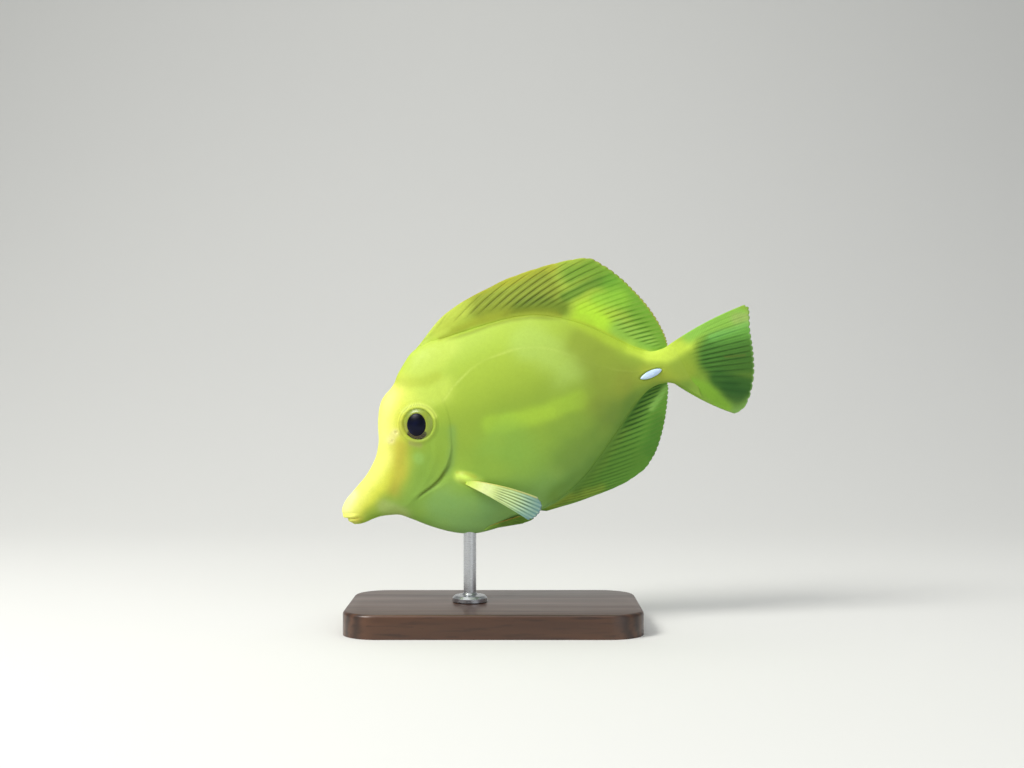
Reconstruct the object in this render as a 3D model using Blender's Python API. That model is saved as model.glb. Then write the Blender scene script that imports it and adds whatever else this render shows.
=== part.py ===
"""Yellow tang, a life-size still model on a plain display stand.

The fish is modelled in its own frame: X runs from the snout tip to the tail, Z up,
its left side faces -Y. An empty then sets its height and its head-down pitch.
Sizes are in metres, and most are given as millimetres times MM.
"""
import math

import bmesh
import bpy
import numpy as np
from mathutils import Vector

MM = 0.001
GAP = 0.3 * MM                 # kept between touching nodes

# Driving dimensions
PITCH = math.radians(19.7)     # head down, from the photo
BALANCE_X = 52 * MM            # snout tip to the middle of the base, level
SNOUT_HEIGHT = 40 * MM         # snout tip above the table
STALK_END = 122.0              # mm, where the flesh ends and the caudal fin starts
STALK_START = 108.0            # mm, thin cut between trunk and tail stalk
GILL_STEP = 0.8                # mm, how far the gill cover stands over the trunk
SUNK = 1.6                     # mm, a fin's root inside the body before it is trimmed

BASE_SIZE = (100 * MM, 58 * MM, 8 * MM)
BASE_CORNER = 12 * MM
BASE_CHAMFER = 1.2 * MM
ROD_RADIUS = 2.2 * MM
ROD_SEAT_X = 38.3              # mm along the fish where the rod enters the belly
ROD_DEPTH = 4 * MM             # rod inside the belly

# Body outline without fins: (x, z) in mm, a point wherever the curve turns
TOP = [(-0.75, -1.0), (-0.3, 0.1), (0.65, 1.3), (2.1, 2.6), (5.1, 4.4), (8.4, 6.3), (12.2, 8.7),
       (14.6, 10.8), (17.1, 13.5), (18.6, 16), (19.8, 18.6), (20.9, 22.4), (22.4, 26.2), (24.5, 29.9),
       (27, 32.1), (29.5, 33.5), (31.5, 35.1), (33, 36.9), (35.5, 39.1), (40, 42.5), (44, 43.8), (54, 43.6),
       (62, 43.3), (70, 43), (78, 42.2), (85, 40.4), (91, 37.5), (97, 33.6), (103, 28.6), (109, 22.4),
       (114, 17.5), (118, 15.3), (122, 14.9)]
BOTTOM = [(-0.75, -2.6), (0.1, -3.5), (0.8, -4.7), (1.5, -5.8), (3, -6.6), (5.5, -7), (8.5, -6.8),
          (11.5, -6.8), (14.5, -7.4), (18, -8.6), (21, -11), (25, -14.5), (29.5, -18), (34, -20.8),
          (40, -23.2), (46, -24), (54, -24), (62, -23.5), (68, -22.6), (76, -20.2), (83, -16.8),
          (90, -12.2), (97, -7.1), (103, -2.6), (108, 0.8), (113, 3.2), (118, 3.6), (120, 3.2),
          (122, 2.1)]
# Half the width at the widest level, and the height of that level
HALF_WIDTH = [(-0.75, 0.7), (-0.3, 1.3), (0.6, 2.1), (2, 2.8), (5, 3.4), (10, 3.9), (15, 4.7), (20, 5.7),
              (25, 6.7), (33, 7.9), (40, 9.2), (48, 10.3), (58, 10.8), (70, 10.4), (80, 9.3), (90, 7.6),
              (100, 5.6), (108, 4.1), (114, 3.2), (118, 2.7), (122, 2.3)]
WIDEST = [(-0.75, -1.8), (2, -2), (10, -0.6), (20, 3.2), (30, 7), (45, 8.5), (80, 9), (122, 8.9)]
# Half the width of the narrow back and keel that carry the fins
BACK_EDGE = [(-0.75, 0.3), (5, 0.9), (30, 0.9), (44, 0.95), (90, 0.95), (122, 0.7)]
KEEL_EDGE = [(-0.75, 0.3), (5, 0.8), (20, 0.8), (60, 0.9), (90, 0.9), (122, 0.7)]
# 1 is a full round section, 2 a lens that runs out into the fin
BACK_TAPER = [(-0.75, 1), (20, 1.05), (40, 1.15), (70, 1.15), (90, 1.5), (104, 1.8), (114, 1.4), (122, 1.1)]
KEEL_TAPER = [(-0.75, 1), (20, 1.05), (40, 1.15), (62, 1.2), (80, 1.6), (104, 1.8), (114, 1.4), (122, 1.1)]

# Rear edge of the gill cover, z to x, from the nape down to the throat
GILL_EDGE = [(-16, 16), (-11.5, 19.5), (-8.5, 22.2), (-5.3, 26), (-2.1, 32), (0.9, 36.8), (4, 40),
             (8, 42.8), (12.5, 44.7), (18, 45.5), (24, 45.2), (34, 43.2), (48, 40)]
GILL_FADE = [(-16, 0), (-8, 0), (-6.6, 0), (-4, 1), (9, 1), (15, 0.45), (26, 0.15), (32, 0), (48, 0)]

# Stations of the body's sections, closest where the head's outline turns
STATIONS = ([-0.75, -0.5, -0.1, 0.4, 0.8, 1.3, 2.0, 3.0, 4.2, 5.6, 7.2, 9.0, 11.0, 13.0, 15.0, 16.6]
            + [17.8, 18.8, 19.6, 20.3, 21.1, 22.1, 23.3, 24.8, 26.6, 28.6, 30.4, 31.8, 33.2, 35.0]
            + [37.2, 39.6, 42.0, 44.6, 47.6] + list(np.arange(51.5, 104, 4.4))
            + [106.5, 109.2, 111.6, 113.8, 116.0, 118.2, 120.2, 122.0])
SIDE_STEPS = 13                # points from keel to back on each side

# Eye
EYE_AT = (34.7, 18.8)
EYE_RADIUS = 5.3
EYE_DEPTH = 3.4
EYE_BULGE = 1.5                # mm the eye stands out of the head
RIM_RADIUS = 5.4
RIM_TUBE = 0.66
RIM_STEPS = 24
PUPIL_RADIUS = 3.45
PUPIL_OFFSET = (-0.4, -0.1)

# Mouth
MOUTH_CORNER = (5.2, -4.9)
MOUTH_FRONT = (-2.0, -3.05)
MOUTH_GAPE = 0.9               # mm open at the front, closing to the corner
LIP_HALF_WIDTH = 2.75
NOSTRILS = [(24.3, 16.3, 0.42), (26.7, 18.6, 0.55)]

# Caudal spine, the white blade on each side of the tail stalk
SPINE_AT = (115.2, 8.0)
SPINE_LENGTH = 8.0
SPINE_HEIGHT = 2.5
SPINE_PROUD = 0.95

# Fin fans: each guide is (place along the base, root, tip, bow), root and tip as (x, z) or (x, y, z) in mm
DORSAL_RAYS = 28
DORSAL = [(0, (42.4, 43.3), (44.6, 45.5), 0), (1.4, (46.5, 43.8), (57, 51.9), 0.3),
          (2.7, (52, 43.7), (76, 55.3), 0.8), (4.0, (57.5, 43.5), (87, 55.7), 1.3),
          (5.6, (64, 43.2), (98.5, 55.0), 1.5), (7.4, (71, 42.9), (108, 53.2), 1.5),
          (9.6, (78.5, 42.1), (112.8, 48.8), 1.3), (12.3, (86, 40.0), (116.6, 43.2), 1.0),
          (15.4, (93, 36.3), (119.4, 37.6), 0.7), (18.9, (99.5, 31.6), (122, 31.4), 0.4),
          (22.5, (105.5, 26.1), (123.8, 24.9), 0.2), (26.2, (111, 20.3), (124.6, 19.0), 0.1),
          (30, (118, 14.7), (123.8, 15.8), 0)]
ANAL_RAYS = 22
ANAL = [(0, (63.5, -23.3), (65.8, -24.4), 0), (1, (65.5, -23.0), (77, -25.0), 0.2),
        (2, (67.5, -22.7), (88, -24.9), 0.3), (4.4, (72.5, -21.4), (100.2, -23.0), 0.5),
        (7.2, (78.5, -19.1), (106.2, -19.6), 0.6), (10, (84.5, -15.9), (109.8, -15.9), 0.6),
        (12.7, (90.5, -11.9), (112.9, -11.5), 0.5), (15.6, (96.5, -7.5), (115.6, -6.9), 0.4),
        (18.6, (102.5, -3.0), (117.9, -2.2), 0.2), (21.1, (108, 0.8), (119.5, 1.4), 0.1),
        (24, (114, 4.3), (119.9, 3.9), 0)]
CAUDAL_RAYS = 18
CAUDAL = [(0, (122, 14.6), (153.8, 19.6), 1.1), (0.9, (122, 14.2), (154.9, 18.4), 1.1),
          (2.6, (122, 13.2), (154.4, 15.6), 0.8), (5.2, (122, 11.3), (152.8, 10.4), 0.4),
          (7.6, (122, 9.1), (151.9, 5.4), 0.1), (10, (122, 6.8), (151.0, 0.8), 0),
          (12.4, (122, 4.7), (149.7, -4.4), -0.3), (14.4, (122, 3.2), (147.3, -9.6), -0.6),
          (15.8, (122, 2.5), (144.9, -13.0), -0.8), (16.6, (122, 2.25), (141.9, -15.2), -0.9),
          (17, (122, 2.1), (139.4, -15.3), -0.9)]
CAUDAL_CURL = 10.0             # mm the lower lobe's tip swings away from the camera side
PECTORAL_RAYS = 12
PECTORAL_BASE_AT = (44.2, -4.5)
PECTORAL_BASE_RADIUS = 3.3
PECTORAL_BASE_HEIGHT = 1.15
PECTORAL = [(0, (43.3, -9.5, -5.9), (59.2, -18.4, -23.5), -0.3),
            (1.8, (43.6, -9.5, -5.6), (61.8, -17.8, -23.3), -0.3),
            (3.6, (43.9, -9.5, -5.3), (63.9, -16.4, -22.2), -0.4),
            (5.4, (44.2, -9.5, -5.0), (65.1, -14.6, -20.4), -0.6),
            (7, (44.5, -9.5, -4.7), (64.6, -12.9, -17.8), -0.8)]
PELVIC_RAYS = 6
PELVIC = [(0, (43.4, -2.2, -23.0), (56.5, -3.6, -25.3), 0),
          (1.7, (44.3, -2.5, -22.7), (60.6, -4.5, -25.0), 0),
          (3.4, (45.2, -2.8, -22.4), (59.8, -5.1, -23.6), 0),
          (5, (46.2, -3.1, -22.1), (56.0, -5.4, -22.2), 0)]

LONG_ROWS = (0.0, 0.12, 0.34, 0.6, 0.84, 1.0)
SHORT_ROWS = (0.0, 0.15, 0.45, 0.78, 1.0)

COLOURS = {
    "skin": ((0.78, 0.76, 0.06, 1), 0.45, 0),
    "fin": ((0.52, 0.66, 0.05, 1), 0.4, 0),
    "pale_fin": ((0.80, 0.85, 0.45, 1), 0.35, 0),
    "iris": ((0.72, 0.72, 0.16, 1), 0.25, 0),
    "pupil": ((0.01, 0.012, 0.03, 1), 0.08, 0),
    "spine": ((0.80, 0.88, 0.96, 1), 0.35, 0),
    "wood": ((0.11, 0.055, 0.03, 1), 0.45, 0),
    "steel": ((0.6, 0.6, 0.62, 1), 0.3, 1),
}


def spline(points):
    """A smooth function through (key, value) pairs, where a value is a number or a tuple."""
    keys = np.array([p[0] for p in points], float)
    values = np.array([np.atleast_1d(p[1]) for p in points], float)
    steps = np.diff(keys)[:, None]
    slopes = np.diff(values, axis=0) / steps
    tangents = np.empty_like(values)
    tangents[0], tangents[-1] = slopes[0], slopes[-1]
    tangents[1:-1] = (slopes[:-1] * steps[1:] + slopes[1:] * steps[:-1]) / (steps[:-1] + steps[1:])

    def at(key):
        i = int(np.clip(np.searchsorted(keys, key) - 1, 0, len(keys) - 2))
        h = keys[i + 1] - keys[i]
        t = min(max((key - keys[i]) / h, 0.0), 1.0)
        value = ((2 * t**3 - 3 * t**2 + 1) * values[i] + (t**3 - 2 * t**2 + t) * h * tangents[i]
                 + (3 * t**2 - 2 * t**3) * values[i + 1] + (t**3 - t**2) * h * tangents[i + 1])
        return value if len(value) > 1 else float(value[0])

    return at


top_at, bottom_at = spline(TOP), spline(BOTTOM)
half_width_at, widest_at = spline(HALF_WIDTH), spline(WIDEST)
back_edge_at, keel_edge_at = spline(BACK_EDGE), spline(KEEL_EDGE)
back_taper_at, keel_taper_at = spline(BACK_TAPER), spline(KEEL_TAPER)
gill_edge_at, gill_fade_at = spline(GILL_EDGE), spline(GILL_FADE)


def flank(x, z):
    """Half the body's width at (x, z), in mm."""
    level = widest_at(x)
    up = z > level
    reach = (top_at(x) - level) if up else (level - bottom_at(x))
    edge, taper = (back_edge_at(x), back_taper_at(x)) if up else (keel_edge_at(x), keel_taper_at(x))
    share = min(abs(z - level) / reach, 1.0)
    return edge + (half_width_at(x) - edge) * (1 - share**2) ** (taper / 2)


def flank_normal(x, z):
    """The outward direction on the +Y side at (x, z)."""
    d = 0.05
    slope_x = (flank(x + d, z) - flank(x - d, z)) / (2 * d)
    slope_z = (flank(x, z + d) - flank(x, z - d)) / (2 * d)
    return Vector((-slope_x, 1, -slope_z)).normalized()


def gill_sink(x, z):
    """How far the trunk lies under the gill cover's edge at (x, z), in mm."""
    behind = max(x - gill_edge_at(z), 0)
    return GILL_STEP * min(max(gill_fade_at(z), 0), 1) * math.exp(-((behind / 5) ** 2))


def mesh_object(name, points, faces):
    """A closed mesh object from points in mm, with its normals made to face out."""
    mesh = bpy.data.meshes.new(name)
    mesh.from_pydata([tuple(c * MM for c in p) for p in points], [], faces)
    form = bmesh.new()
    form.from_mesh(mesh)
    bmesh.ops.recalc_face_normals(form, faces=form.faces)
    form.to_mesh(mesh)
    form.free()
    made = bpy.data.objects.new(name, mesh)
    bpy.context.scene.collection.objects.link(made)
    return made


def loft(name, rings, closed_path=False):
    """Joins rings of equally many points into one closed skin, capped unless it is a loop."""
    count = len(rings[0])
    points = [p for ring in rings for p in ring]
    faces = []
    for i in range(len(rings) if closed_path else len(rings) - 1):
        a, b = i * count, (i + 1) % len(rings) * count
        for j in range(count):
            k = (j + 1) % count
            faces.append((a + j, a + k, b + k, b + j))
    if not closed_path:
        faces.append(tuple(range(count)))
        faces.append(tuple(range(len(points) - 1, len(points) - count - 1, -1)))
    return mesh_object(name, points, faces)


def body_ring(x, grow, sink):
    """One section of the body: up the right side and down the left."""
    level, top, bottom = widest_at(x), top_at(x), bottom_at(x)
    side = []
    for j in range(SIDE_STEPS):
        angle = math.pi * (j / (SIDE_STEPS - 1) - 0.5)
        reach = (top - level) if angle > 0 else (level - bottom)
        z = level + reach * math.sin(angle)
        y = flank(x, z) - (gill_sink(x, z) if sink else 0) + grow
        side.append((y, z + grow * math.sin(angle)))
    return [(x, y, z) for y, z in side] + [(x, -y, z) for y, z in reversed(side)]


def body(name, grow=0.0, sink=False):
    """The whole fish without fins, from the snout to the end of the tail stalk."""
    rings = [body_ring(x, grow, sink) for x in STATIONS]
    if grow:
        rings.append([(x + grow, y, z) for x, y, z in rings[-1]])
    return loft(name, rings)


def prism(name, outline, half_depth):
    """An upright outline of (x, z) points, extruded both ways along Y."""
    return loft(name, [[(x, y, z) for x, z in outline] for y in (-half_depth, half_depth)])


def helper(thing):
    """Marks an object that only shapes others."""
    thing.hide_render = True
    thing.display_type = "WIRE"
    return thing


def settle(thing):
    """Applies an object's modifiers and keeps its largest closed surface."""
    graph = bpy.context.evaluated_depsgraph_get()
    mesh = bpy.data.meshes.new_from_object(thing.evaluated_get(graph))
    thing.modifiers.clear()
    thing.data = mesh
    form = bmesh.new()
    form.from_mesh(mesh)
    bmesh.ops.triangulate(form, faces=form.faces)
    left, bodies = set(form.faces), []
    while left:
        front, found = [left.pop()], []
        while front:
            face = front.pop()
            found.append(face)
            for edge in face.edges:
                for other in edge.link_faces:
                    if other in left:
                        left.discard(other)
                        front.append(other)
        bodies.append(found)
    bodies.sort(key=lambda faces: sum(f.calc_area() for f in faces))
    bmesh.ops.delete(form, geom=[f for faces in bodies[:-1] for f in faces], context="FACES")
    form.to_mesh(mesh)
    form.free()
    return thing


def shaped(thing, operation, tools):
    """One Boolean with a collection of tools, applied, after which the tools are removed."""
    group = bpy.data.collections.new("tools")
    for tool in tools:
        group.objects.link(tool)
    bpy.context.scene.collection.children.link(group)
    boolean = thing.modifiers.new(operation.lower(), "BOOLEAN")
    boolean.operation = operation
    boolean.operand_type = "COLLECTION"
    boolean.collection = group
    boolean.solver = "EXACT"
    settle(thing)
    for tool in tools:
        bpy.data.objects.remove(tool)
    bpy.data.collections.remove(group)
    return thing


def trimmed(thing, others=()):
    """Cuts a fin clear of the body by the gap that touching nodes keep."""
    return shaped(thing, "DIFFERENCE", [body("clearance", grow=GAP / MM), *others])


def painted(thing, name, colour):
    """Gives a finished node its name, colour and smooth shading."""
    thing.name = thing.data.name = name
    rgba, roughness, metallic = COLOURS[colour]
    material = bpy.data.materials.get(colour) or bpy.data.materials.new(colour)
    material.use_nodes = True
    shader = material.node_tree.nodes["Principled BSDF"]
    shader.inputs["Base Color"].default_value = rgba
    shader.inputs["Roughness"].default_value = roughness
    shader.inputs["Metallic"].default_value = metallic
    material.diffuse_color = rgba
    thing.data.materials.clear()
    thing.data.materials.append(material)
    thing.data.shade_smooth()
    thing.data.set_sharp_from_angle(angle=math.radians(40))
    return thing


def tube(name, path, radii, sides, upright, closed_path=False):
    """A round tube along a path in mm that lies nearly square to the upright direction."""
    path = [Vector(p) for p in path]
    rings = []
    for i, at in enumerate(path):
        if closed_path:
            ahead = path[(i + 1) % len(path)] - path[i - 1]
        else:
            ahead = path[min(i + 1, len(path) - 1)] - path[max(i - 1, 0)]
        across = ahead.cross(Vector(upright)).normalized()
        over = across.cross(ahead).normalized()
        turns = [2 * math.pi * k / sides for k in range(sides)]
        rings.append([tuple(at + radii[i] * (math.cos(a) * across + math.sin(a) * over)) for a in turns])
    return loft(name, rings, closed_path)


def spheroid(name, centre, axis, radius, depth, segments=20, rows=9):
    """A flattened ball whose short axis points along axis."""
    turn = Vector((0, 0, 1)).rotation_difference(axis).to_matrix()
    points = [tuple(centre + turn @ Vector((0, 0, -depth)))]
    for i in range(1, rows):
        angle = math.pi * (i / rows - 0.5)
        for j in range(segments):
            around = 2 * math.pi * j / segments
            flat = radius * math.cos(angle)
            local = Vector((flat * math.cos(around), flat * math.sin(around), depth * math.sin(angle)))
            points.append(tuple(centre + turn @ local))
    points.append(tuple(centre + turn @ Vector((0, 0, depth))))
    last = len(points) - 1
    faces = []
    for j in range(segments):
        k = (j + 1) % segments
        faces.append((0, 1 + k, 1 + j))
        faces.append((last, last - segments + j, last - segments + k))
        for i in range(rows - 2):
            a, b = 1 + i * segments, 1 + (i + 1) * segments
            faces.append((a + j, a + k, b + k, b + j))
    return mesh_object(name, points, faces)


def rod_between(name, start, end, radius, sides=24):
    """A straight cylinder between two points in mm."""
    turn = Vector((0, 0, 1)).rotation_difference(end - start).to_matrix()
    rings = []
    for at in (start, end):
        turns = [2 * math.pi * k / sides for k in range(sides)]
        ring = [Vector((radius * math.cos(a), radius * math.sin(a), 0)) for a in turns]
        rings.append([tuple(at + turn @ p) for p in ring])
    return loft(name, rings)


def eye_frame(side):
    """Centre of the eyeball and the way it looks, on side -1 (left) or +1 (right)."""
    x, z = EYE_AT
    outward = flank_normal(x, z)
    outward = Vector((outward.x, side * outward.y, outward.z))
    skin = Vector((x, side * flank(x, z), z))
    return skin + outward * (EYE_BULGE - EYE_DEPTH), outward


def eye(side):
    """An eyeball with a recess, and the domed pupil that fills it."""
    word = "left" if side < 0 else "right"
    centre, outward = eye_frame(side)
    middle = centre + Vector((PUPIL_OFFSET[0], 0, PUPIL_OFFSET[1]))
    floor, outside = middle + outward * (EYE_DEPTH - 2.2), middle + outward * (EYE_DEPTH + 3)
    gap = GAP / MM
    ball = spheroid("ball", centre, outward, EYE_RADIUS, EYE_DEPTH)
    shaped(ball, "DIFFERENCE", [rod_between("recess", floor, outside, PUPIL_RADIUS + gap)])
    lens = rod_between("lens", floor + outward * gap, outside, PUPIL_RADIUS)
    shaped(lens, "INTERSECT", [spheroid("dome", centre, outward, EYE_RADIUS, EYE_DEPTH + 0.25)])
    return [painted(ball, "eye_" + word, "iris"), painted(lens, "pupil_" + word, "pupil")]


def lip(name, lift, front_x, thick):
    """A lip: a tapered half loop from one corner of the mouth round the front to the other."""
    corner_x, corner_z = MOUTH_CORNER
    slope = (MOUTH_FRONT[1] - corner_z) / (MOUTH_FRONT[0] - corner_x)
    path, radii = [], []
    for k in range(-6, 7):
        angle = math.radians(88) * k / 6
        x = corner_x - (corner_x - front_x) * math.cos(angle)
        share = abs(k) / 6
        z = corner_z + slope * (x - corner_x) + lift * (1 - share**3)
        path.append((x, LIP_HALF_WIDTH * math.sin(angle), z))
        radii.append(thick * (1 - 0.6 * share**2))
    return tube(name, path, radii, 7, (0, 0, 1))


def head():
    """Snout, face and gill covers, with lips, mouth, nostrils and eye sockets."""
    edge = [(gill_edge_at(z), z) for z in np.linspace(48, -15, 27)]
    front = prism("front_zone", [(-6, 48)] + edge + [(-6, -15)], 20)
    whole = shaped(body("head"), "INTERSECT", [front])
    corner_x, corner_z = MOUTH_CORNER
    front_x, front_z = MOUTH_FRONT
    slit = prism("slit", [(corner_x, corner_z), (front_x, front_z + MOUTH_GAPE / 2),
                          (front_x, front_z - MOUTH_GAPE / 2)], 6)
    cutters = [slit]
    rims = []
    for side in (-1, 1):
        centre, outward = eye_frame(side)
        gap = GAP / MM
        cutters.append(spheroid("socket", centre, outward, EYE_RADIUS + gap, EYE_DEPTH + gap))
        for x, z, radius in NOSTRILS:
            pit = Vector((x, side * flank(x, z), z))
            cutters.append(spheroid("nostril", pit, flank_normal(x, z), radius, 0.8, 8, 4))
        ring = []
        for k in range(RIM_STEPS):
            around = 2 * math.pi * k / RIM_STEPS
            x = EYE_AT[0] + RIM_RADIUS * math.cos(around)
            z = EYE_AT[1] + RIM_RADIUS * math.sin(around)
            ring.append((x, side * (flank(x, z) + 0.02), z))
        rims.append(tube("rim", ring, [RIM_TUBE] * RIM_STEPS, 6, (0, 1, 0), closed_path=True))
    lips = [lip("upper_lip", 0.95, 0.15, 0.85), lip("lower_lip", -0.75, 1.55, 0.75)]
    shaped(whole, "UNION", rims)
    shaped(whole, "DIFFERENCE", cutters)
    shaped(whole, "UNION", lips)
    return painted(whole, "head", "skin")


def pectoral_base(side, grow=0.0):
    """The low fleshy mound that carries a pectoral fin."""
    x, z = PECTORAL_BASE_AT
    outward = flank_normal(x, z)
    outward = Vector((outward.x, side * outward.y, outward.z))
    centre = Vector((x, side * flank(x, z), z))
    return spheroid("mound", centre, outward, PECTORAL_BASE_RADIUS + grow, PECTORAL_BASE_HEIGHT + grow, 16, 8)


def trunk():
    """The deep, flat-sided body between the gill covers and the tail stalk."""
    gap = GAP / MM
    edge = [(gill_edge_at(z) + gap * 1.2, z - gap * 0.4) for z in np.linspace(-15, 48, 27)]
    zone = prism("zone", edge + [(STALK_START, 48), (STALK_START, -30), (edge[0][0], -30)], 20)
    flesh = shaped(body("trunk", sink=True), "INTERSECT", [zone])
    shaped(flesh, "UNION", [pectoral_base(side) for side in (-1, 1)])
    return painted(flesh, "trunk", "skin")


def caudal_spine(name, side, grow):
    """The spindle-shaped blade, sharp at its front end."""
    x, z = SPINE_AT
    length, height = SPINE_LENGTH / 2 + grow, SPINE_HEIGHT / 2 + grow
    rings = []
    for k in range(11):
        along = math.cos(math.pi * k / 10)
        share = max(1 - along**2, 0.02) ** (0.75 if along < 0 else 0.55)
        at_x = x + length * along
        skin = flank(at_x, z) + 0.15
        ring = [2 * math.pi * j / 10 for j in range(10)]
        rings.append([(at_x, side * (skin + (SPINE_PROUD + grow) * share * math.cos(a)),
                       z + 0.06 * (at_x - x) + height * share * math.sin(a)) for a in ring])
    return loft(name, rings)


def tail_stalk():
    """The narrow stalk, with a groove on each side for the blade."""
    start = STALK_START + GAP / MM
    zone = prism("zone", [(start, 40), (130, 40), (130, -20), (start, -20)], 20)
    stalk = shaped(body("tail_stalk"), "INTERSECT", [zone])
    shaped(stalk, "DIFFERENCE", [caudal_spine("groove", side, GAP / MM) for side in (-1, 1)])
    return painted(stalk, "tail_stalk", "skin")


def fan(name, guides, rays, rows, root_half, ray_half, web_half, wave=None, sunk_way=None, notch=0.35):
    """A fin: one thin closed vane whose rays stand up as ridges on both faces.

    u runs along the fin's base and v from its base to its edge, both from 0 to 1, with rows
    the values of v. root_half is a function of u, ray_half and web_half are (root, tip) pairs,
    wave gives the sideways shift at (u, v), and sunk_way points into the body.
    """
    def as_3d(p):
        return Vector(p) if len(p) == 3 else Vector((p[0], 0, p[1]))

    keys = [g[0] / guides[-1][0] for g in guides]
    roots = spline([(u, tuple(as_3d(g[1]))) for u, g in zip(keys, guides)])
    tips = spline([(u, tuple(as_3d(g[2]))) for u, g in zip(keys, guides)])
    bows = spline([(u, g[3]) for u, g in zip(keys, guides)])
    step = 1 / (rays - 1)
    columns = [(0.0, 0.35)]
    for k in range(rays):
        u = k * step
        if k:
            columns.append((u - 0.3 * step, 0.0))
        columns.append((min(max(u, 0.12 * step), 1 - 0.12 * step), 1.0))
        if k < rays - 1:
            columns.append((u + 0.3 * step, 0.0))
    columns.append((1.0, 0.35))
    halfway = guides[len(guides) // 2]
    middle = as_3d(halfway[2]) - as_3d(halfway[1])
    first, last = as_3d(guides[0][1]), as_3d(guides[-1][1])
    flat = middle.cross(last - first).normalized()
    grid = []
    for u, ridge in columns:
        root, tip = Vector(roots(u)), Vector(tips(u))
        reach = tip - root
        outward = reach.cross(flat).normalized()
        into = Vector(sunk_way) if sunk_way else -reach.normalized()
        cells = [(root + into * SUNK, root_half(u))]
        for v in rows:
            pulled = v - (notch / max(reach.length, 1) if v == 1 and ridge < 0.2 else 0)
            at = root + reach * pulled + outward * bows(u) * 4 * v * (1 - v)
            if wave:
                at += flat * wave(u, v)
            web = web_half[0] + (web_half[1] - web_half[0]) * v
            ray = (ray_half[0] + (ray_half[1] - ray_half[0]) * v) * ridge
            sheath = (root_half(u) - web) * max(0, 1 - v / 0.22) ** 1.5
            half = web + max(sheath, 0) + ray * min(v / 0.1, 1)
            cells.append((at, max(half, 0.12)))
        grid.append(cells)
    steps = len(grid[0])
    points = [tuple(at + side * half * flat) for side in (1, -1) for cells in grid for at, half in cells]
    back = len(grid) * steps

    def index(side, c, r):
        return side * back + c * steps + r

    faces = []
    for c in range(len(grid) - 1):
        for r in range(steps - 1):
            corners = [(c, r), (c + 1, r), (c + 1, r + 1), (c, r + 1)]
            for pick in ((0, 1, 2), (0, 2, 3)):
                faces.append(tuple(index(0, *corners[i]) for i in pick))
                faces.append(tuple(index(1, *corners[i]) for i in reversed(pick)))
    border = [(c, 0) for c in range(len(grid))]
    border += [(len(grid) - 1, r) for r in range(1, steps)]
    border += [(c, steps - 1) for c in range(len(grid) - 2, -1, -1)]
    border += [(0, r) for r in range(steps - 2, 0, -1)]
    for (c0, r0), (c1, r1) in zip(border, border[1:] + border[:1]):
        faces.append((index(0, c1, r1), index(0, c0, r0), index(1, c0, r0), index(1, c1, r1)))
    return mesh_object(name, points, faces)


def dorsal_fin():
    """Short skin-bound spines in front, then long soft rays that fan back to the stalk."""
    made = fan("dorsal", DORSAL, DORSAL_RAYS, LONG_ROWS, lambda u: 0.8 - 0.25 * u, (0.34, 0.06), (0.32, 0.22),
               wave=lambda u, v: 0.7 * v * v * math.sin(math.radians(400 * u + 40)), sunk_way=(0.05, 0, -1))
    return painted(trimmed(made), "dorsal_fin", "fin")


def anal_fin():
    """The matching fin under the tail end of the belly."""
    made = fan("anal", ANAL, ANAL_RAYS, LONG_ROWS, lambda u: 0.75 - 0.2 * u, (0.34, 0.06), (0.32, 0.22),
               wave=lambda u, v: 0.7 * v * v * math.sin(math.radians(330 * u + 200)), sunk_way=(-0.25, 0, 1))
    return painted(trimmed(made), "anal_fin", "fin")


def caudal_fin():
    """The tail fan, its lower lobe curling away from the camera side as it beats."""
    def curl(u, v):
        lower = max(u - 0.3, 0) ** 1.6 / 0.7**1.6
        return CAUDAL_CURL * lower * v**1.7 + 0.5 * v * math.sin(math.radians(500 * u))

    def flesh(u):
        return 0.5 + 1.35 * math.sqrt(max(1 - (2 * u - 1) ** 2, 0))

    made = fan("caudal", CAUDAL, CAUDAL_RAYS, LONG_ROWS, flesh, (0.45, 0.08), (0.4, 0.24),
               wave=curl, sunk_way=(-1, 0, 0), notch=0.5)
    return painted(trimmed(made), "caudal_fin", "fin")


def on_side(side, point):
    """A point or direction given for the left side, there or mirrored to the right."""
    return (point[0], -side * point[1], point[2])


def paired_fin(side, guides, rays, root_half, ray_half, sunk_way):
    """A fin of the left side, or its mirror image on the right."""
    turned = [(place, on_side(side, root), on_side(side, tip), bow) for place, root, tip, bow in guides]
    made = fan("paired", turned, rays, SHORT_ROWS, lambda u: root_half, (ray_half, 0.05), (0.3, 0.2),
               sunk_way=on_side(side, sunk_way), notch=0.25)
    return trimmed(made, [pectoral_base(side, GAP / MM)])


def pectoral_fin(side):
    """Rays trailing down and back from the fleshy base, at the end of a stroke."""
    made = paired_fin(side, PECTORAL, PECTORAL_RAYS, 0.9, 0.26, (-0.2, 1, 0.1))
    return painted(made, "pectoral_fin_" + ("left" if side < 0 else "right"), "pale_fin")


def pelvic_fin(side):
    """A small fin folded back along the keel."""
    made = paired_fin(side, PELVIC, PELVIC_RAYS, 0.6, 0.28, (-0.2, 0.5, 0.8))
    return painted(made, "pelvic_fin_" + ("left" if side < 0 else "right"), "fin")


def rounded_outline(width, depth, corner, steps=7):
    """A rectangle with round corners, as (x, y) points."""
    outline = []
    for quarter, (sx, sy) in enumerate(((1, 1), (-1, 1), (-1, -1), (1, -1))):
        for k in range(steps):
            angle = math.pi / 2 * (quarter + k / (steps - 1))
            outline.append((sx * (width / 2 - corner) + corner * math.cos(angle),
                            sy * (depth / 2 - corner) + corner * math.sin(angle)))
    return outline


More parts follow.
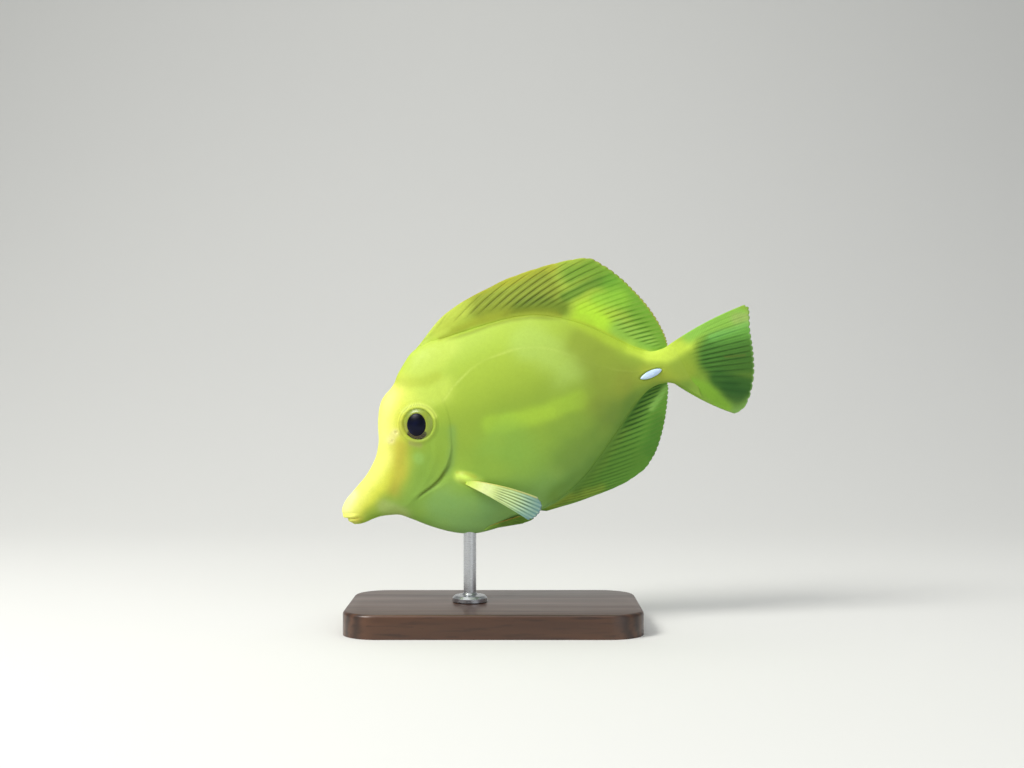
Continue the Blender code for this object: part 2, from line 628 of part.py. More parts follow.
def stand_base():
    """A flat block with a chamfered top edge, its underside on the table."""
    width, depth, height = (size / MM for size in BASE_SIZE)
    chamfer, corner = BASE_CHAMFER / MM, BASE_CORNER / MM
    rings = []
    for inset, z in ((0.5, 0), (0, 0.5), (0, height - chamfer), (chamfer, height)):
        outline = rounded_outline(width - 2 * inset, depth - 2 * inset, corner - inset)
        rings.append([(x, y, z) for x, y in outline])
    return painted(loft("stand_base", rings), "stand_base", "wood")


def on_table(x, z):
    """A point of the fish's frame, in mm, as it stands on the table."""
    return Vector((x * math.cos(PITCH) - z * math.sin(PITCH) - BALANCE_X / MM, 0,
                   x * math.sin(PITCH) + z * math.cos(PITCH) + SNOUT_HEIGHT / MM))


def stand_rod():
    """An upright rod with a round foot, from the base into the belly."""
    belly = on_table(ROD_SEAT_X, bottom_at(ROD_SEAT_X))
    foot = (BASE_SIZE[2] + GAP) / MM
    head_z = belly.z + ROD_DEPTH / MM
    radius = ROD_RADIUS / MM
    profile = [(6.0, foot), (6.0, foot + 1.2), (5.2, foot + 2.0), (radius + 0.6, foot + 2.3),
               (radius, foot + 3.0), (radius, head_z - 0.4), (radius - 0.4, head_z)]
    rings = []
    for ring_radius, z in profile:
        turns = [2 * math.pi * k / 24 for k in range(24)]
        rings.append([(belly.x + ring_radius * math.cos(a), ring_radius * math.sin(a), z) for a in turns])
    rod = painted(loft("stand_rod", rings), "stand_rod", "steel")
    gap = GAP / MM
    socket = rod_between("rod_socket", Vector((belly.x, 0, belly.z - 8)), Vector((belly.x, 0, head_z + gap)),
                         radius + gap)
    return rod, helper(socket)


def build():
    """Models every node, poses the fish and drills the rod's socket."""
    for old in list(bpy.data.objects):
        bpy.data.objects.remove(old)
    flesh = trunk()
    nodes = [head(), flesh, tail_stalk(), dorsal_fin(), anal_fin(), caudal_fin()]
    for side in (-1, 1):
        word = "left" if side < 0 else "right"
        blade = painted(caudal_spine("blade", side, 0), "tail_spine_" + word, "spine")
        nodes += eye(side) + [blade, pectoral_fin(side), pelvic_fin(side)]
    pose = bpy.data.objects.new("fish_pose", None)
    bpy.context.scene.collection.objects.link(pose)
    pose.location = (-BALANCE_X, 0, SNOUT_HEIGHT)
    pose.rotation_euler = (0, -PITCH, 0)
    for node in nodes:
        node.parent = pose
    stand_base()
    socket = stand_rod()[1]
    drill = flesh.modifiers.new("rod_socket", "BOOLEAN")
    drill.operation = "DIFFERENCE"
    drill.object = socket
    drill.solver = "EXACT"


build()
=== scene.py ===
import math

import bpy
import numpy as np
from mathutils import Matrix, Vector


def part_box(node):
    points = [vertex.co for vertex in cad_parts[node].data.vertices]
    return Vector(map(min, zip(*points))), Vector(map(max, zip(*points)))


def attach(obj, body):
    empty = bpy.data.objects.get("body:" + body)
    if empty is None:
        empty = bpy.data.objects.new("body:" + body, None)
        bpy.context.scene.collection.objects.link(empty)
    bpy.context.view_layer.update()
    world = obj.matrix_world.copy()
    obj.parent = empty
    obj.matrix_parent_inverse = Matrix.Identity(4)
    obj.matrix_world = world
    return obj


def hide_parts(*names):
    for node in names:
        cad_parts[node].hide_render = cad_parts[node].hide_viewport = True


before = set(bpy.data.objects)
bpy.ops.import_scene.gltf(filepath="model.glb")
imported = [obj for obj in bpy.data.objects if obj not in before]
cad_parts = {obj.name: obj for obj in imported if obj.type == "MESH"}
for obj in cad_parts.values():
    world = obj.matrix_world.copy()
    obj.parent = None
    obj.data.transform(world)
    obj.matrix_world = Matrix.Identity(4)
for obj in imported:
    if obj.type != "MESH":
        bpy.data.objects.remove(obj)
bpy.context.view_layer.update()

# Fish frame, in millimetres: x from the snout tip to the tail, z up, the left side faces -y.
pose = {"pitch": math.radians(19.7), "snout": (-0.052, 0.0, 0.040), "mm": 0.001}

# Outline of the body without its fins, and how its sections swell, all as (x, value)
bodyShape = {
    "back": [(-0.75, -1.0), (-0.3, 0.1), (0.65, 1.3), (2.1, 2.6), (5.1, 4.4), (8.4, 6.3),
        (12.2, 8.7), (14.6, 10.8), (17.1, 13.5), (18.6, 16), (19.8, 18.6), (20.9, 22.4),
        (22.4, 26.2), (24.5, 29.9), (27, 32.1), (29.5, 33.5), (31.5, 35.1), (33, 36.9),
        (35.5, 39.1), (40, 42.5), (44, 43.8), (54, 43.6), (62, 43.3), (70, 43), (78, 42.2),
        (85, 40.4), (91, 37.5), (97, 33.6), (103, 28.6), (109, 22.4), (114, 17.5), (118, 15.3),
        (122, 14.9), (125, 15.2), (129.5, 16.0)],
    "belly": [(-0.75, -2.6), (0.1, -3.5), (0.8, -4.7), (1.5, -5.8), (3, -6.6), (5.5, -7),
        (8.5, -6.8), (11.5, -6.8), (14.5, -7.4), (18, -8.6), (21, -11), (25, -14.5), (29.5, -18),
        (34, -20.8), (40, -23.2), (46, -24), (54, -24), (62, -23.5), (68, -22.6), (76, -20.2),
        (83, -16.8), (90, -12.2), (97, -7.1), (103, -2.6), (108, 0.8), (113, 3.2), (118, 3.6),
        (120, 3.2), (122, 2.1), (123.7, 0.7), (126.6, -2.5), (129.5, -5.7)],
    "halfWidth": [(-0.75, 0.7), (-0.3, 1.3), (0.6, 2.1), (2, 2.8), (5, 3.4), (10, 3.9), (15, 4.7),
        (20, 5.7), (25, 6.7), (33, 7.9), (40, 9.2), (48, 10.3), (58, 10.8), (70, 10.4), (80, 9.3),
        (90, 7.6), (100, 5.6), (108, 4.1), (114, 3.2), (118, 2.7), (122, 2.3), (124.5, 1.7),
        (127, 0.95), (129.5, 0)],
    "widest": [(-0.75, -1.8), (2, -2), (10, -0.6), (20, 3.2), (30, 7), (45, 8.5), (80, 9),
        (122, 8.9), (129.5, 6.5)],
    "backEdge": [(-0.75, 0.3), (5, 0.9), (30, 0.9), (44, 0.95), (90, 0.95), (122, 0.7),
        (126, 0.4), (129.5, 0)],
    "keelEdge": [(-0.75, 0.3), (5, 0.8), (20, 0.8), (60, 0.9), (90, 0.9), (122, 0.7), (126, 0.4),
        (129.5, 0)],
    "backTaper": [(-0.75, 1), (20, 1.05), (40, 1.15), (70, 1.15), (90, 1.5), (104, 1.8),
        (114, 1.4), (129.5, 1)],
    "keelTaper": [(-0.75, 1), (20, 1.05), (40, 1.15), (62, 1.2), (80, 1.6), (104, 1.8),
        (114, 1.4), (129.5, 1)],
}


def curve(points):  # a smooth line through (key, value) pairs; a value may be a point
    keys = np.array([p[0] for p in points], float)
    values = np.array([np.atleast_1d(p[1]) for p in points], float)
    steps = np.diff(keys)[:, None]
    slopes = np.diff(values, axis=0) / steps
    inner = (slopes[:-1] * steps[1:] + slopes[1:] * steps[:-1]) / (steps[:-1] + steps[1:])
    tangents = np.vstack([slopes[:1], inner, slopes[-1:]])

    def at(key):
        key = np.asarray(key, float)
        i = np.clip(np.searchsorted(keys, key) - 1, 0, len(keys) - 2)
        t = np.clip((key - keys[i]) / steps[i, 0], 0, 1)[..., None]
        value = ((2 * t**3 - 3 * t**2 + 1) * values[i] + (3 * t**2 - 2 * t**3) * values[i + 1]
                 + (t**3 - 2 * t**2 + t) * steps[i] * tangents[i]
                 + (t**3 - t**2) * steps[i] * tangents[i + 1])
        return value[..., 0] if values.shape[1] == 1 else value

    return at


shapeAt = {key: curve(points) for key, points in bodyShape.items()}


def hill(distance, width):  # 1 at the middle of a mark, fading out
    return np.exp(-((distance / width) ** 2))


def step(value):  # 0 below 0, 1 above 1, smooth between
    t = np.clip(value, 0, 1)
    return t * t * (3 - 2 * t)


def away(x, z, line):  # distance to a line through (x, z) points
    best = np.full(np.shape(x), 1e9)
    for (ax, az), (bx, bz) in zip(line, line[1:]):
        dx, dz = bx - ax, bz - az
        t = np.clip(((x - ax) * dx + (z - az) * dz) / (dx * dx + dz * dz), 0, 1)
        best = np.minimum(best, np.hypot(x - ax - t * dx, z - az - t * dz))
    return best


def flankWidth(x, z):  # half the body's width at (x, z)
    level = shapeAt["widest"](x)
    up = z > level
    reach = np.where(up, shapeAt["back"](x) - level, level - shapeAt["belly"](x))
    edge = np.where(up, shapeAt["backEdge"](x), shapeAt["keelEdge"](x))
    taper = np.where(up, shapeAt["backTaper"](x), shapeAt["keelTaper"](x))
    share = np.clip(np.abs(z - level) / reach, 0, 1)
    return edge + (shapeAt["halfWidth"](x) - edge) * (1 - share**2) ** (taper / 2)


def flankNormal(x, z, side):  # the way the flank faces at (x, z)
    d = 0.05
    slopeX = (flankWidth(x + d, z) - flankWidth(x - d, z)) / (2 * d)
    slopeZ = (flankWidth(x, z + d) - flankWidth(x, z - d)) / (2 * d)
    return Vector((-float(slopeX), side, -float(slopeZ))).normalized()


def intoWorld(points):  # fish millimetres to metres on the stand
    points = np.asarray(points, float) * pose["mm"]
    c, s = math.cos(pose["pitch"]), math.sin(pose["pitch"])
    x, y, z = points[..., 0], points[..., 1], points[..., 2]
    return np.stack([x * c - z * s, y, x * s + z * c], -1) + np.array(pose["snout"])


def deselectAll():
    if bpy.context.mode != "OBJECT":
        bpy.ops.object.mode_set(mode="OBJECT")
    bpy.ops.object.select_all(action="DESELECT")


def addPiece(operator, name, **settings):  # a new object, with all others deselected
    deselectAll()
    operator(**settings)
    piece = bpy.context.object
    piece.name = name
    return piece


def verticesOf(piece):
    points = np.empty(len(piece.data.vertices) * 3)
    piece.data.vertices.foreach_get("co", points)
    return points.reshape(-1, 3)


def startSheet(name, across, along):  # a grid, with each vertex's place in it from 0 to 1
    sheet = addPiece(bpy.ops.mesh.primitive_grid_add, name,
                     x_subdivisions=across, y_subdivisions=along, size=2)
    sheet.data.name = name
    places = verticesOf(sheet) / 2 + 0.5
    return sheet, places[:, 0], places[:, 1]


def placeVertices(piece, points):
    piece.data.vertices.foreach_set("co", intoWorld(points).astype(np.float32).ravel())
    piece.data.update()


def mark(piece, name, values):  # a number on every vertex, for the material to read
    made = piece.data.attributes.new(name, "FLOAT", "POINT")
    made.data.foreach_set("value", np.asarray(values, np.float32).ravel())


def closeSeams(piece):  # merges what meets, faces outwards, smooth
    deselectAll()
    piece.select_set(True)
    bpy.context.view_layer.objects.active = piece
    bpy.ops.object.mode_set(mode="EDIT")
    bpy.ops.mesh.select_all(action="SELECT")
    bpy.ops.mesh.remove_doubles(threshold=0.000002)
    bpy.ops.mesh.normals_make_consistent(inside=False)
    bpy.ops.object.mode_set(mode="OBJECT")
    bpy.ops.object.shade_smooth()


def editWhere(piece, kind, wanted):  # edit mode, with the edges or faces selected that a rule picks
    bpy.ops.object.mode_set(mode="EDIT")
    bpy.ops.mesh.select_mode(type=kind)
    bpy.ops.mesh.select_all(action="DESELECT")
    bpy.ops.object.mode_set(mode="OBJECT")
    for item in piece.data.edges if kind == "EDGE" else piece.data.polygons:
        item.select = wanted([piece.data.vertices[i].co for i in item.vertices])
    bpy.ops.object.mode_set(mode="EDIT")


def finishPiece(piece, slotName, material, *nodes):
    piece.data.materials.clear()
    piece.data.materials.append(material)
    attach(piece, "root")
    if nodes:
        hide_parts(*nodes)
    return piece


# Material helpers: a colour as it looks on screen, and short ways to add and join nodes

def tint(red, green, blue):
    def linear(value):
        value /= 255
        return value / 12.92 if value <= 0.04045 else ((value + 0.055) / 1.055) ** 2.4
    return (linear(red), linear(green), linear(blue), 1.0)


def startMaterial(name, roughness, coat=0.0, coatRoughness=0.2, metallic=0.0, softness=0.0,
                  specular=0.5):
    material = bpy.data.materials.new(name)
    material.use_nodes = True
    shader = material.node_tree.nodes["Principled BSDF"]
    values = {"Roughness": roughness, "Metallic": metallic, "Coat Weight": coat,
              "Coat Roughness": coatRoughness, "Specular IOR Level": specular}
    if softness:
        values.update({"Subsurface Weight": softness, "Subsurface Radius": (1.0, 0.9, 0.3),
                       "Subsurface Scale": 0.0012})
    for socket, value in values.items():
        shader.inputs[socket].default_value = value
    return material, material.node_tree, shader


def addNode(tree, kind, **values):
    node = tree.nodes.new(kind)
    for key, value in values.items():
        setattr(node, key, value)
    return node


def feed(tree, socket, value):  # a socket gets another node's output or a plain value
    if isinstance(value, bpy.types.NodeSocket):
        tree.links.new(value, socket)
    else:
        socket.default_value = value


def feedAll(tree, node, **values):  # the same for sockets with one-word names
    for name, value in values.items():
        feed(tree, node.inputs[name], value)
    return node


def calculate(tree, operation, first, second=0.0):
    node = addNode(tree, "ShaderNodeMath", operation=operation)
    feed(tree, node.inputs[0], first)
    feed(tree, node.inputs[1], second)
    return node.outputs[0]


def multiply(tree, first, second):
    return calculate(tree, "MULTIPLY", first, second)


def blendColour(tree, factor, first, second, way="MIX"):
    node = addNode(tree, "ShaderNodeMix", data_type="RGBA", blend_type=way, clamp_factor=True)
    feed(tree, node.inputs["Factor"], factor)
    feed(tree, node.inputs[6], first)
    feed(tree, node.inputs[7], second)
    return node.outputs[2]


def rangeOf(tree, value, low, high, newLow=0.0, newHigh=1.0):
    node = feedAll(tree, addNode(tree, "ShaderNodeMapRange"), Value=value)
    for name, number in (("From Min", low), ("From Max", high), ("To Min", newLow),
                         ("To Max", newHigh)):
        node.inputs[name].default_value = number
    return node.outputs["Result"]


def tinge(tree, colour, pattern, low, high, share, shade):  # shaded where a pattern is high
    return blendColour(tree, rangeOf(tree, pattern, low, high, 0.0, share), colour, shade)


def dress(tree, shader, colour, pattern=None, least=0.0, most=1.0):  # colour and uneven roughness
    feed(tree, shader.inputs["Base Color"], colour)
    if pattern:
        feed(tree, shader.inputs["Roughness"], rangeOf(tree, pattern, 0.3, 0.7, least, most))


def readMark(tree, name, output="Fac"):
    return addNode(tree, "ShaderNodeAttribute", attribute_name=name).outputs[output]


def objectPlace(tree, **mapping):  # Object coordinates through a mapping
    source = addNode(tree, "ShaderNodeTexCoord").outputs["Object"]
    if not mapping:
        return source
    kind = mapping.pop("kind", "POINT")
    return feedAll(tree, addNode(tree, "ShaderNodeMapping", vector_type=kind), Vector=source,
                   **mapping).outputs[0]


def fishPlace(tree, stretch=(1, 1, 1)):  # Object coordinates turned into fish millimetres
    return objectPlace(tree, kind="TEXTURE", Location=pose["snout"],
                       Rotation=(0, -pose["pitch"], 0), Scale=[pose["mm"] * s for s in stretch])


def noiseOf(tree, place, scale, detail=3.0):
    node = addNode(tree, "ShaderNodeTexNoise")
    return feedAll(tree, node, Vector=place, Scale=scale, Detail=detail).outputs["Fac"]


def bumpFrom(tree, shader, height, distance, strength, under=None):
    node = addNode(tree, "ShaderNodeBump")
    feedAll(tree, node, Strength=strength, Distance=distance, Height=height)
    if under:
        feed(tree, node.inputs["Normal"], under)
    feed(tree, shader.inputs["Normal"], node.outputs[0])
    return node.outputs[0]


# Soft strokes of colour, sprayed one over the other, some of them painted light and shade as
# marked:
# line through (x, z), full to, fading over, colour, share
airbrush = {"heights": [(-27, (134, 182, 112)), (-18, (134, 180, 92)), (-8, (140, 180, 70)),
    (4, (142, 174, 58)), (14, (146, 174, 56)), (24, (164, 190, 62)), (36, (172, 198, 68)),
    (48, (176, 198, 72))]}
airbrush["body"] = [
    ([(53.2, 38.2), (62.8, 39.8), (73.2, 38.9), (82.7, 35.2)],
     2, 6, (178, 206, 74), 0.6),  # shoulder sheen
    ([(79.5, 31.3), (86.6, 26.2), (89.9, 20.3)], 3, 7, (184, 214, 104), 0.6),  # painted sheen, pale on the upper side
    ([(57.8, 10.7), (62.5, 9), (67.6, 8.3), (74.8, 8.2), (81.9, 8.2), (89.6, 7.6)],
     1.7, 2.8, (172, 208, 60), 0.6),  # light band
    ([(63, 10.3), (71.2, 8.1), (78.3, 8)], 0.6, 2, (178, 214, 62), 0.4),  # light patch in it
    ([(59.1, 4.5), (64.3, -1)], 2, 9, (138, 184, 74), 0.5),  # lower side
    ([(34, -10.1), (40.9, -16.2), (47.3, -18.4)], 3, 7, (130, 176, 104), 0.6),  # belly
    ([(29.6, -16.9), (42.4, -21.8)], 1, 3, (150, 196, 110), 0.5),  # keel
    ([(98.7, 24.5), (100.3, 16.7), (102.3, 8.4), (98.9, 2.8)],
     4, 8, (138, 156, 52), 0.8),  # rear of the body
    ([(79.2, -10.1), (89.5, -6.5), (98.7, -0.8)], 2, 7, (112, 148, 58), 0.6),  # low rear side
    ([(70.6, -20.3), (84.3, -16.4), (97, -9.4), (106.5, -1.1)],
     0.8, 5, (100, 142, 50), 0.8),  # by the rear fin
    ([(104.9, 8.9), (109.9, 8.6)], 1.2, 5, (156, 162, 54), 0.3),  # stalk, front
    ([(114.7, 7.6), (121.9, 5.3), (126.4, 5.6)], 1.5, 4, (174, 186, 58), 0.7),  # stalk, middle
    ([(126.3, 7.1), (130, 7.2)], 2.5, 4, (150, 178, 58), 0.7),  # root of the tail
    ([(113.1, 19.1), (117.3, 14.3), (122.1, 12.6), (126.8, 13.5), (131, 13.8)],
     1.1, 3.2, (216, 240, 84), 0.9),  # stalk, top: painted light on its lit top
    ([(105.4, 1.4), (111.3, 2.6), (115.1, 3.1), (119.6, 2.5), (124.8, -0.4)],
     0.6, 3, (98, 136, 48), 0.6),  # underside: painted shade under the stalk
    ([(97.1, 34.3), (99.7, 31.5), (104.2, 26.7), (109, 22), (114.6, 17.1)],
     0.6, 3, (180, 208, 56), 0.65),  # foot of the rear fin
    ([(34.5, 34.8), (42.3, 38.5), (50.6, 41.4)], 3, 6, (192, 214, 82), 0.85),  # nape, paler, with painted sheen
    ([(51.4, 44.1), (62.5, 44.5), (73.1, 43.8), (83.2, 41.4), (92.8, 37.6)],
     0.25, 1.1, (160, 172, 56), 0.75),  # foot of the front fin: painted shade along its crease
    ([(30.5, 5.2), (30.3, -0.5), (23.4, -4.5)], 2, 6, (132, 172, 72), 0.65),  # cheek: painted shade on the side of the head
    ([(40.2, 11.9), (38.3, 6.5), (33.2, 2.2)], 2, 5, (132, 168, 60), 0.6),  # gill cover
    ([(3.9, 0.4), (11.4, 3.2), (17.7, 6.4), (21.9, 12.1), (24.5, 18.4), (26.5, 25), (29.6, 28.6),
      (32.2, 29.8)],
     2.4, 6, (226, 228, 76), 0.9),  # lemon face: the head's own yellow, lightened with painted light on its front
    ([(36.9, 28.2), (42, 27.1), (46.4, 27.3)], 2, 5, (208, 228, 98), 0.6),  # above the eye
    ([(33, 34.6), (36.8, 32.9), (41.5, 32), (46.2, 32.1)],
     0.5, 2.4, (172, 188, 56), 0.6),  # fold over the eye
    ([(21.6, 17.6), (22.9, 24.4), (25.8, 28.5), (29.4, 31.2)],
     0.8, 5.5, (246, 246, 134), 0.9),  # brow: painted light on the lit brow
    ([(0.8, -0.5), (8, 4.3), (15.1, 9), (19.4, 12.9)], 1.5, 4.5, (248, 248, 124), 0.95),  # snout: painted light along its lit top
    ([(1.4, 1.1), (4.8, 3.6)], 1, 2.5, (252, 252, 180), 0.75),  # snout tip: painted highlight
    ([(26.9, 13.7), (24.6, 9.4), (22.4, 5.1), (19.7, 0.7)],
     0.1, 4.2, (180, 158, 56), 0.55),  # blush
    ([(45, 13.1), (43.9, 8.1), (41, 3.1), (38.6, 0.3)],
     0.3, 2, (124, 164, 84), 0.5),  # behind the gill: painted shadow behind the gill cover's edge
    ([(14.4, -4.5), (19, -8)], 1, 3, (186, 202, 126), 0.55),  # chin
    ([(41.9, -2.6), (43.6, -3.9), (45.3, -5.2), (46.8, -6.9)],
     0.9, 1.9, (208, 236, 100), 0.9),  # pectoral base
    ([(41.7, -1.1), (44.6, -2.1), (47, -4.4)], 0.1, 0.8, (176, 176, 50), 0.5),  # its upper edge
    ([(31, 8.4), (30.8, 7.7)], 0.8, 1.8, (152, 196, 98), 0.5),  # spot under the eye: painted highlight on the cheek
    ([(30.4, 13.6), (33, 12)], 0.3, 1.2, (160, 150, 96), 0.5),  # lower lid
    ([(29.4, 20.8), (28.8, 17.8)], 0.5, 1.2, (170, 168, 62), 0.6),  # front lid
    ([(31.1, 24.5), (34.3, 25.5), (37.3, 25), (39.8, 22.8), (40.8, 19.6)],
     0.4, 1, (232, 246, 118), 0.6),  # upper lid: painted highlight on the eye's upper rim
    ([(24, 16.8), (26, 18.3)], 0.6, 1.6, (236, 224, 164), 0.45),  # nose
]
airbrush["dorsal"] = [
    ([(52.8, 48.4), (59.2, 50.9), (67.1, 52.4)], 1.5, 4, (196, 212, 82), 0.8),  # front
    ([(66.3, 55.3), (77.5, 56), (88.2, 55.1), (95.3, 54.8)],
     1.2, 3, (178, 180, 52), 0.85),  # upper edge
    ([(69.1, 48), (80, 47.8), (91.2, 48.2)], 3, 4.5, (138, 152, 48), 0.85),  # middle
    ([(101.7, 49.9), (108.1, 49.5), (112.3, 45)], 1, 5, (112, 158, 50), 0.85),  # top
    ([(96.6, 43), (106.1, 44), (113.8, 43)],
     0.8, 2.2, (92, 138, 44), 0.85),  # dark above the glow
    ([(80.7, 44.6), (89.2, 42.7), (93.2, 40.5)],
     1.2, 4, (104, 128, 38), 0.85),  # dark ahead of it
    ([(117.7, 39.5), (120.9, 30.2), (122.3, 19.8)], 4, 6, (112, 170, 52), 0.9),  # rear
    ([(107.4, 37.3), (114.3, 36.3)], 1.2, 4, (150, 206, 62), 0.85),  # behind the glow
    ([(101.1, 36.2), (103.4, 33.2), (105.7, 30.6)], 0.8, 5.8, (190, 236, 60), 0.85),  # glow
    ([(110.1, 27.5), (114.7, 21.9), (118.8, 18.2)],
     0.8, 3.8, (142, 196, 78), 0.7),  # striped part
    ([(57.1, 45), (66.1, 44.7), (75.1, 44.1)], 0.6, 2, (164, 174, 52), 0.6),  # band over the back: painted shade above the crease
    ([(76, 43.6), (83.8, 41), (90.5, 38.2)], 0.8, 2.6, (134, 146, 42), 0.75),  # its rear part, painted shade too
]
airbrush["anal"] = [
    ([(71.4, -22.3), (86.7, -20.4), (104.3, -12.1), (116, 0.2)], 9, 4, (88, 140, 46), 1),  # whole
    ([(67.6, -22.7), (76.9, -22.4), (85.2, -22.5)], 0.6, 2.6, (146, 166, 54), 0.75),  # front
    ([(84, -17.7), (93.3, -17.3), (101, -16.4)], 2.5, 4, (84, 132, 42), 0.9),  # middle
    ([(77.7, -20.1), (88.7, -14.9), (98.6, -7.5), (105.3, -2.2)],
     0.9, 2.6, (100, 142, 48), 0.9),  # by the body
    ([(102.7, -4.2), (109, 0.9), (114.2, 3.4)], 1.8, 3, (66, 116, 32), 0.85),  # by the stalk
    ([(108.2, -16.4), (112.9, -9.7)], 2, 3.4, (74, 126, 40), 0.85),  # rear
    ([(119.3, 2.3), (115.9, -0.2), (111.9, -3.1)],
     0.25, 1.5, (132, 180, 84), 0.75),  # light strip
]
airbrush["caudal"] = [
    ([(139.9, 10.6), (150.7, 10.1)], 1.5, 4, (108, 172, 70), 0.9),  # under the upper band
    ([(137, 7.6), (143, 6.6), (150.2, 5.2)], 1.4, 4.4, (78, 128, 46), 0.95),  # middle
    ([(136.2, 4.3), (142, 2.4), (149.1, -0.3)], 1.8, 4.4, (74, 124, 42), 0.95),
    ([(136.8, -1.4), (141, -4.9), (146, -8)], 1.8, 3.8, (56, 108, 36), 0.95),  # lower lobe: painted shade where it curls away from the light
    ([(139, -5.6), (142.2, -9.6)], 1.4, 3.6, (46, 98, 34), 0.8),
    ([(132.8, 16.5), (144.2, 17.3), (151.5, 17.2)], 1.1, 3.4, (156, 212, 86), 0.95),  # upper band: painted light along the top edge, which faces the light
    ([(149.5, 16.2), (152.5, 15.5)], 0.8, 2.2, (182, 192, 118), 0.5),
    # a thin painted highlight line below the upper band
    ([(139.5, 13), (146.3, 13.1), (152.2, 13.4)], 0.2, 1.8, (136, 206, 104), 0.5),
    ([(127.5, -0.3), (131.8, -3.7), (134.9, -8.5), (136.9, -12)], 0.9, 2.4, (140, 190, 56), 0.95),
    ([(141.7, 4.9), (148.4, 3.2)], 0.1, 0.5, (120, 116, 44), 0.4),
]
airbrush["eye"] = [
    ([(29, 19.6), (29.1, 17)], 1, 2, (150, 148, 58), 0.7),  # front of the iris
    ([(30.3, 14.1), (33.8, 12.8)], 0.8, 1.2, (158, 148, 98), 0.6),  # below
    ([(30.9, 16.7), (31.6, 15.2), (32.7, 14.5), (34.1, 14.3), (35.6, 15)],
     0.7, 0.35, (46, 20, 8), 1),  # crescent
    ([(31.5, 22.6), (33.8, 23.9), (36.6, 23.8), (38.9, 22.1), (40, 19.2)],
     0.15, 0.4, (120, 140, 50), 0.6),  # upper arc: painted shade under the upper lid
]


def sprayed(paint, x, z, strokes):  # the strokes' edges wander a little
    wobbleX = 0.12 * np.sin(0.29 * z + 0.13 * x) + 0.04 * np.sin(0.83 * z - 0.31 * x + 2)
    wobbleZ = 0.12 * np.sin(0.27 * x - 0.16 * z + 1) + 0.04 * np.sin(0.78 * x + 0.4 * z)
    for line, full, fading, colour, share in strokes:
        reach = away(x + fading * wobbleX, z + fading * wobbleZ, line)
        amount = share * hill(np.maximum(reach - full, 0), 0.62 * fading)
        paint = paint + (np.array(tint(*colour)) - paint) * amount[..., None]
    return paint


def bodyPaint(x, z):
    heights = curve([(height, tint(*colour)) for height, colour in airbrush["heights"]])
    return sprayed(heights(z), x, z, airbrush["body"])


def spray(piece, paint):  # stores a colour on every vertex
    made = piece.data.attributes.new("paint", "FLOAT_COLOR", "POINT")
    made.data.foreach_set("color", np.asarray(paint, np.float32).ravel())


# Skin: one closed form for the head, trunk and tail stalk, down to the fleshy root of the tail fin

